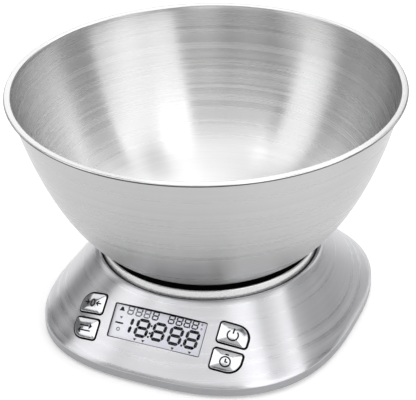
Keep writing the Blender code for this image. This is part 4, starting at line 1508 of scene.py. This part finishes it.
@dataclass
class Display:
    """The liquid-crystal display behind its window.

    Attributes:
        glass_top: Top of the display glass, from the panel plane.
        ink: Thickness of a segment.
        lean: Sideways lean of the digits.
        large: Width and height of a large digit.
        large_bar: Width of its bars.
        small: Width and height of a small digit.
        small_bar: Width of its bars.
        edge_shade: Width of the black line round the window, painted shade of the window's edge.
    """

    glass_top: float = -1.55 * MM
    ink: float = 0.03 * MM
    lean: float = 0.08
    large: Pair = (8.0 * MM, 10.4 * MM)
    large_bar: float = 1.75 * MM
    edge_shade: float = 0.55 * MM
    small: Pair = (3.8 * MM, 5.0 * MM)
    small_bar: float = 0.75 * MM

    def digit(self, centre: Pair, size: Pair, stroke: float, lit: str) -> list[tuple]:
        """Bars of one seven-segment digit.

        Args:
            centre: Middle of the digit.
            size: Width and height.
            stroke: Width of a bar.
            lit: Letters a to g of the bars that are there.

        Returns:
            Place, length, width and turn of each bar.
        """
        x, y = centre
        side, rise = (size[0] - stroke) / 2, (size[1] - stroke) / 2
        gap = 0.12 * stroke
        level, upright = size[0] - stroke - 2 * gap + stroke * 0.1, rise - 2 * gap + stroke * 0.1
        high, low = y + rise / 2, y - rise / 2
        bars = {"a": (x, y + rise, level, 0.0), "g": (x, y, level, 0.0), "d": (x, y - rise, level, 0.0),
                "b": (x + side, high, upright, pi / 2), "c": (x + side, low, upright, pi / 2),
                "f": (x - side, high, upright, pi / 2), "e": (x - side, low, upright, pi / 2)}
        return [(bx, by, length, stroke, turn) for key, (bx, by, length, turn) in bars.items() if key in lit]

    def build(self, panel: Panel, segments: Segments) -> None:
        """Make the digits, the signs and the black line round the window, which is painted shade.

        Args:
            panel: The panel that they lie on.
            segments: Maker of display bars.
        """
        width, height = panel.window

        def spot(across: float, down: float) -> Pair:
            """Place on the panel from fractions of the window, from its top left."""
            return (across - 0.5) * width, (0.5 - down) * height

        large = self.digit(spot(0.153, 0.55), self.large, self.large_bar, "bc")
        for across in (0.334, 0.513, 0.695, 0.869):
            large += self.digit(spot(across, 0.55), self.large, self.large_bar, "abcdefg")
        faint = []
        for across in (0.157, 0.247, 0.337):
            faint += self.digit(spot(across, 0.125), self.small, self.small_bar, "abcdefg")
        small = [(*spot(0.08, 0.54), 5.0 * MM, 0.9 * MM, 0.0)]
        for across in (0.427, 0.6, 0.685, 0.77, 0.855):
            small += self.digit(spot(across, 0.125), self.small, self.small_bar, "abcdefg")
        self.add_edge_shade(panel)
        middle = self.glass_top + self.ink / 2
        for name, bars, finish in (("large", large, SEGMENT_BLACK), ("small", small, SEGMENT_BLACK),
                                   ("faint", faint, SEGMENT_FAINT)):
            piece = segments.lay(f"display_digits_{name}", bars, finish, middle, self.ink, self.lean,
                                 panel.matrix)
            settle(piece, "housing", "black_plastic")
        signs = [self.dot(spot(across, down), 0.62 * MM) for across, down in
                 ((0.4235, 0.43), (0.4235, 0.64), (0.416, 0.75), (0.779, 0.77))]
        signs += [self.dot(spot(across, down), 0.3 * MM) for across, down in
                  ((0.291, 0.08), (0.291, 0.17), (0.813, 0.235))]
        signs += [self.pointer(spot(across, down)) for across, down in
                  ((0.285, 0.9), (0.375, 0.9), (0.695, 0.91), (0.88, 0.915))]
        signs += [self.ring(spot(across, down), 0.55 * MM) for across, down in ((0.935, 0.08), (0.938, 0.2))]
        signs.append(self.bell(spot(0.073, 0.13)))
        pale = [self.ring(spot(0.085, 0.72), 1.1 * MM), self.pointer(spot(0.085, 0.38))]
        for name, outlines, finish in (("signs", signs, SEGMENT_BLACK), ("signs_faint", pale, SEGMENT_FAINT)):
            bm = bmesh.new()
            for outline in outlines:
                self.add_slip(bm, outline)
            piece = solid(f"display_{name}", bm, finish, panel.matrix)
            settle(piece, "housing", "black_plastic")

    def add_edge_shade(self, panel: Panel) -> None:
        """Lay the black line round the edge of the window: painted shade of the window's edge.

        Args:
            panel: The panel that the window is in.
        """
        bm = bmesh.new()
        outer = rounded_rectangle(*panel.window, [panel.window_corner] * 4, 6)
        opening = [side - 2 * self.edge_shade for side in panel.window]
        inner = rounded_rectangle(*opening, [panel.window_corner / 2] * 4, 6)
        rows = []
        for outline, height in ((outer, -0.14), (outer, -0.04), (inner, -0.04), (inner, -0.14)):
            rows.append([bm.verts.new((x, y, height * MM)) for x, y in outline])
        join_rows(bm, [*rows, rows[0]])
        edge_shade = solid("window_gasket", bm, KEY_SHADE_SKIRT, panel.matrix, sharp=50.0)
        settle(edge_shade, "housing", "black_plastic")

    def add_slip(self, bm: Form, outline: list[Pair]) -> None:
        """Add a thin closed slip on the glass.

        Args:
            bm: The shape to add it to.
            outline: Its outline on the panel plane.
        """
        rows = []
        for height in (self.glass_top, self.glass_top + self.ink):
            rows.append([bm.verts.new((x, y, height)) for x, y in outline])
        join_rows(bm, rows)
        bm.faces.new(list(reversed(rows[0])))
        bm.faces.new(rows[1])

    def dot(self, centre: Pair, radius: float) -> list[Pair]:
        """A round dot."""
        return arc(centre, radius, 0, 330, 11)

    def ring(self, centre: Pair, radius: float) -> list[Pair]:
        """A ring drawn as one bent strip that almost closes."""
        return arc(centre, radius, 0, 350, 20) + list(reversed(arc(centre, radius * 0.5, 0, 350, 20)))

    def pointer(self, centre: Pair) -> list[Pair]:
        """A small triangle that points down at a printed unit."""
        x, y = centre
        return [(x - 0.95 * MM, y + 0.6 * MM), (x, y - 0.8 * MM), (x + 0.95 * MM, y + 0.6 * MM)]

    def bell(self, centre: Pair) -> list[Pair]:
        """Outline a small bell with a flared foot.

        Args:
            centre: Its middle.

        Returns:
            The points.
        """
        x, y = centre
        half = [(1.5, -1.1), (1.5, -0.8), (1.0, -0.3), (0.8, 0.6), (0.3, 1.1)]
        sides = half + [(-across, up) for across, up in reversed(half)]
        return [(x + across * MM, y + up * MM) for across, up in sides]


# ---------------------------------------------------------------- underside and inside


@dataclass
class Underside:
    """Feet, screws and battery door under the base.

    Attributes:
        case_head: Radius and height of a case screw's head.
        cell_head: Radius and height of the head of a screw that holds the load cell.
        shank: Radius of every screw's shank.
        round_off: Radius of the edge of a head.
        socket: Radius of the hexagon socket in a cell screw.
        cross: Length and width of each arm of the cross recess in a case screw.
        recess: Depth of both recesses.
        door_corner: Corner radius of the battery door.
        grip: Length and width of a grip groove.
        grip_pitch: Spacing of the grooves.
        grip_edge: Distance of the first groove from the door's back edge.
        groove: Depth of the grooves.
    """

    case_head: Pair = (2.7 * MM, 1.3 * MM)
    cell_head: Pair = (2.9 * MM, 2.5 * MM)
    shank: float = 1.3 * MM
    round_off: float = 0.45 * MM
    socket: float = 1.5 * MM
    cross: Pair = (3.2 * MM, 0.75 * MM)
    recess: float = 0.9 * MM
    door_corner: float = 1.0 * MM
    grip: Pair = (14.0 * MM, 0.8 * MM)
    grip_pitch: float = 1.6 * MM
    grip_edge: float = 6.0 * MM
    groove: float = 0.5 * MM

    def middle(self, node: str) -> Pair:
        """Middle of a CAD node's box in plan."""
        low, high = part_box(node)
        return (low.x + high.x) / 2, (low.y + high.y) / 2

    def feet(self, turned: Turned) -> None:
        """Make the four feet.

        Args:
            turned: Maker of turned pieces.
        """
        names = [f"foot_{index}" for index in range(1, 5)]
        low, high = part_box(names[0])
        radius, top = (high.x - low.x) / 2, high.z
        hollow = [(0.0, 0.3 * MM), (3.0 * MM, 0.3 * MM), (3.4 * MM, 0.0)]
        profile = [*hollow, *arc((radius - MM, MM), MM, -90, 0, 6), (radius, top), (0.0, top)]
        feet = turned.turn("rubber_feet", profile, RUBBER, 48, [(*self.middle(name), 0.0) for name in names])
        settle(feet, "housing", "rubber", *names)

    def screws(self, turned: Turned, name: str, nodes: list[str], head: Pair, recess: list[Pair]) -> None:
        """Make a set of like screws whose heads face down.

        Args:
            turned: Maker of turned pieces.
            name: Name of the piece.
            nodes: The CAD screws that it replaces.
            head: Radius and height of the head.
            recess: Outline of the driver recess round the screw's axis.
        """
        low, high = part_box(nodes[0])
        radius, height = head
        edge = arc((radius - self.round_off, low.z + self.round_off), self.round_off, -90, 0, 6)
        profile = [(0.0, low.z), *edge, (radius, low.z + height), (self.shank, low.z + height),
                   (self.shank, high.z - self.shank), (0.0, high.z)]
        places = [self.middle(node) for node in nodes]
        screws = turned.turn(name, profile, ZINC, 32, [(*place, 0.0) for place in places])
        cut_away(screws, [prism([(x + u, y + v) for u, v in recess], low.z - MM, low.z + self.recess)
                          for x, y in places])
        settle(screws, "housing", "zinc", *nodes)

    def door(self) -> None:
        """Make the battery door with rounded edges, grip grooves and an arrow."""
        low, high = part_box("battery_door")
        x, y = self.middle("battery_door")
        bm = bmesh.new()
        rows = []
        rounding = ((0.5 * MM, 0.0), (0.15 * MM, 0.15 * MM), (0.0, 0.5 * MM), (0.0, high.z - low.z))
        for inset, height in rounding:
            outline = rounded_rectangle(high.x - low.x - 2 * inset, high.y - low.y - 2 * inset,
                                        [self.door_corner] * 4, 6)
            rows.append([bm.verts.new((x + u, y + v, low.z + height)) for u, v in outline])
        join_rows(bm, rows)
        bm.faces.new(list(reversed(rows[0])))
        bm.faces.new(rows[-1])
        door = solid("battery_door_lid", bm, GREY_ABS, sharp=50.0)
        cutters = []
        groove = rounded_rectangle(*self.grip, [self.grip[1] * 0.49] * 4, 5)
        for index in range(5):
            rise = high.y - self.grip_edge - index * self.grip_pitch
            cutters.append(prism([(x + u, rise + v) for u, v in groove], low.z - MM, low.z + self.groove))
        arrow = [(x - 3 * MM, rise - 5 * MM), (x + 3 * MM, rise - 5 * MM), (x, rise - 2 * MM)]
        cutters.append(prism(arrow, low.z - MM, low.z + self.groove))
        cut_away(door, cutters)
        settle(door, "battery_lid", "grey_plastic", "battery_door")

    def build(self, turned: Turned) -> None:
        """Make everything that shows under the base.

        Args:
            turned: Maker of turned pieces.
        """
        self.feet(turned)
        long, wide = self.cross[0] / 2, self.cross[1] / 2
        arm = [(long, -wide), (long, wide), (wide, wide)]
        star = [(u * cos(turn) - v * sin(turn), u * sin(turn) + v * cos(turn))
                for turn in (0.0, pi / 2, pi, 3 * pi / 2) for u, v in arm]
        case_screws = [f"case_screw_{index}" for index in range(1, 5)]
        self.screws(turned, "case_screws", case_screws, self.case_head, star)
        self.screws(turned, "load_cell_screws", ["load_cell_screw_1", "load_cell_screw_2"], self.cell_head,
                    arc((0.0, 0.0), self.socket, 0, 300, 5))
        self.door()


NUMBERED = ("1", "2")
KEYS = tuple(mark.value for mark in Mark)
CARRIED_OVER = (
    (BLACK_ABS, ("platform_carrier", "cover_frame", "display_bezel", "controller_chip", "alarm_buzzer",
                 "battery_box", *(f"key_switch_{key}" for key in KEYS))),
    (GREY_ABS, ("base_plate",)),
    (ZINC, tuple(f"{name}_{number}" for name in ("platform_screw", "contact_spring", "contact_plate_plus",
                                                 "contact_plate_minus") for number in NUMBERED)),
    (ALUMINIUM, ("load_cell_beam",)),
    (SILICONE, ("strain_gauge_cover_top", "strain_gauge_cover_bottom", "display_connector", "wire_socket")),
    (PAPER, ("rating_label",)),
    (LENS, ("display_lens",)),
    (DISPLAY, ("display_glass",)),
    (BOARD, ("main_board",)),
    (BATTERY, tuple(f"battery_{number}" for number in NUMBERED)),
    (SHEATHS["grey"], ("load_cell_cable",)),
    (SHEATHS["red"], ("battery_wire_red",)),
    (SHEATHS["black"], ("battery_wire_black",)),
)


def dress_carried_over() -> None:
    """Give every CAD node that stays its finish."""
    for finish, names in CARRIED_OVER:
        for name in names:
            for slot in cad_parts[name].material_slots:
                slot.material = finish.make()
            LOG.info("%s dressed", name)


# ---------------------------------------------------------------- studio


@dataclass(frozen=True)
class SoftBox:
    """A rectangular soft light that faces the object.

    Attributes:
        name: Name of the light.
        azimuth: Turn of its middle round the object in degrees, 0 in front and 90 on the right.
        elevation: Height of its middle over the horizon in degrees.
        width: Width in degrees as the object sees it.
        height: Height in degrees as the object sees it.
        radiance: Brightness of its face.
    """

    name: str
    azimuth: float
    elevation: float
    width: float
    height: float
    radiance: float


SOFTBOXES = (SoftBox("light_right", 70, 26, 56, 40, 1.6), SoftBox("light_front_high", 15, 58, 70, 26, 1.5),
             SoftBox("light_left", -56, 36, 30, 48, 1.4), SoftBox("light_front", 5, 33, 66, 22, 0.5),
             SoftBox("light_back_right", 143, 40, 26, 44, 1.0), SoftBox("light_back", 180, 58, 40, 26, 1.6),
             SoftBox("light_back_left", -100, 33, 20, 24, 1.1),
             SoftBox("light_behind_left", -152, 36, 40, 40, 1.3),
             SoftBox("light_rear_right", 114, 38, 30, 30, 0.45), SoftBox("light_above", 180, 82, 40, 40, 1.1))


@dataclass
class Studio:
    """Floor, soft lights and camera.

    Attributes:
        azimuth: Camera's turn round the object in degrees, 0 in front.
        elevation: Camera's height over the horizon in degrees.
        roll: Camera's roll in degrees.
        distance: Distance from the axis.
        lens: Focal length in millimetres.
        aim_across: Sideways move of the camera.
        aim_up: Upward move of the camera.
        reach: Distance of the soft boxes from the axis.
        fill: Brightness of the light from all round.
    """

    azimuth: float = 23.7
    elevation: float = 30.78
    roll: float = -1.39
    distance: float = 0.9
    lens: float = 134.3
    aim_across: float = -1.62 * MM
    aim_up: float = 55.92 * MM
    reach: float = 1.6
    fill: float = 0.2

    def camera(self) -> None:
        """Place the camera."""
        a, e, r = radians(self.azimuth), radians(self.elevation), radians(self.roll)
        back = Vector((sin(a) * cos(e), -cos(a) * cos(e), sin(e)))
        right = Vector((cos(a), sin(a), 0.0))
        up = back.cross(right)
        right, up = cos(r) * right + sin(r) * up, cos(r) * up - sin(r) * right
        eye = back * self.distance + right * self.aim_across + up * self.aim_up
        data = bpy.data.cameras.new("camera")
        data.lens = self.lens
        data.clip_start = 10 * MM
        camera = make_object("camera", data)
        camera.matrix_world = Matrix.Translation(eye) @ Matrix((right, up, back)).transposed().to_4x4()
        bpy.context.scene.camera = camera

    def hang(self, softbox: SoftBox) -> None:
        """Hang one soft box so that it faces the object.

        Args:
            softbox: The box to hang.
        """
        a, e = radians(softbox.azimuth), radians(softbox.elevation)
        way = Vector((sin(a) * cos(e), -cos(a) * cos(e), sin(e)))
        data = bpy.data.lights.new(softbox.name, "AREA")
        data.shape = "RECTANGLE"
        data.size = 2.0 * self.reach * tan(radians(softbox.width) / 2)
        data.size_y = 2.0 * self.reach * tan(radians(softbox.height) / 2)
        data.energy = softbox.radiance * pi * data.size * data.size_y
        light = make_object(softbox.name, data)
        light.location = way * self.reach + Vector((0.0, 0.0, self.aim_up))
        light.rotation_euler = way.to_track_quat("Z", "Y").to_euler()
        light.visible_camera = False

    def build(self) -> None:
        """Lay the floor and set the light and camera."""
        scene = bpy.context.scene
        scene.view_settings.view_transform = "Standard"
        bm = bmesh.new()
        bmesh.ops.create_grid(bm, x_segments=8, y_segments=8, size=4.0)
        solid("studio_floor", bm, FLOOR)
        world = bpy.data.worlds.new("studio")
        scene.world = world
        world.use_nodes = True
        feed(world.node_tree, world.node_tree.nodes["Background"], {"Color": linear("#ffffff"),
                                                                    "Strength": self.fill})
        for softbox in SOFTBOXES:
            self.hang(softbox)
        self.camera()


# ---------------------------------------------------------------- making


def main() -> None:
    """Build the studio, then every piece in order."""
    logging.basicConfig(level=logging.INFO, format="%(message)s")
    turned, segments = Turned(), Segments()
    cover, panel = Cover(), Panel()
    Studio().build()
    LOG.info("studio ready")
    Bowl().build(turned)
    LOG.info("bowl ready")
    Platform().build(turned)
    LOG.info("platform ready")
    cover.build(panel.matrix, panel.holes())
    LOG.info("cover ready")
    Buttons().build(cover, panel)
    LOG.info("buttons ready")
    Display().build(panel, segments)
    LOG.info("display ready")
    Underside().build(turned)
    LOG.info("underside ready")
    dress_carried_over()
    LOG.info("inside ready")


if __name__ == "__main__":
    main()
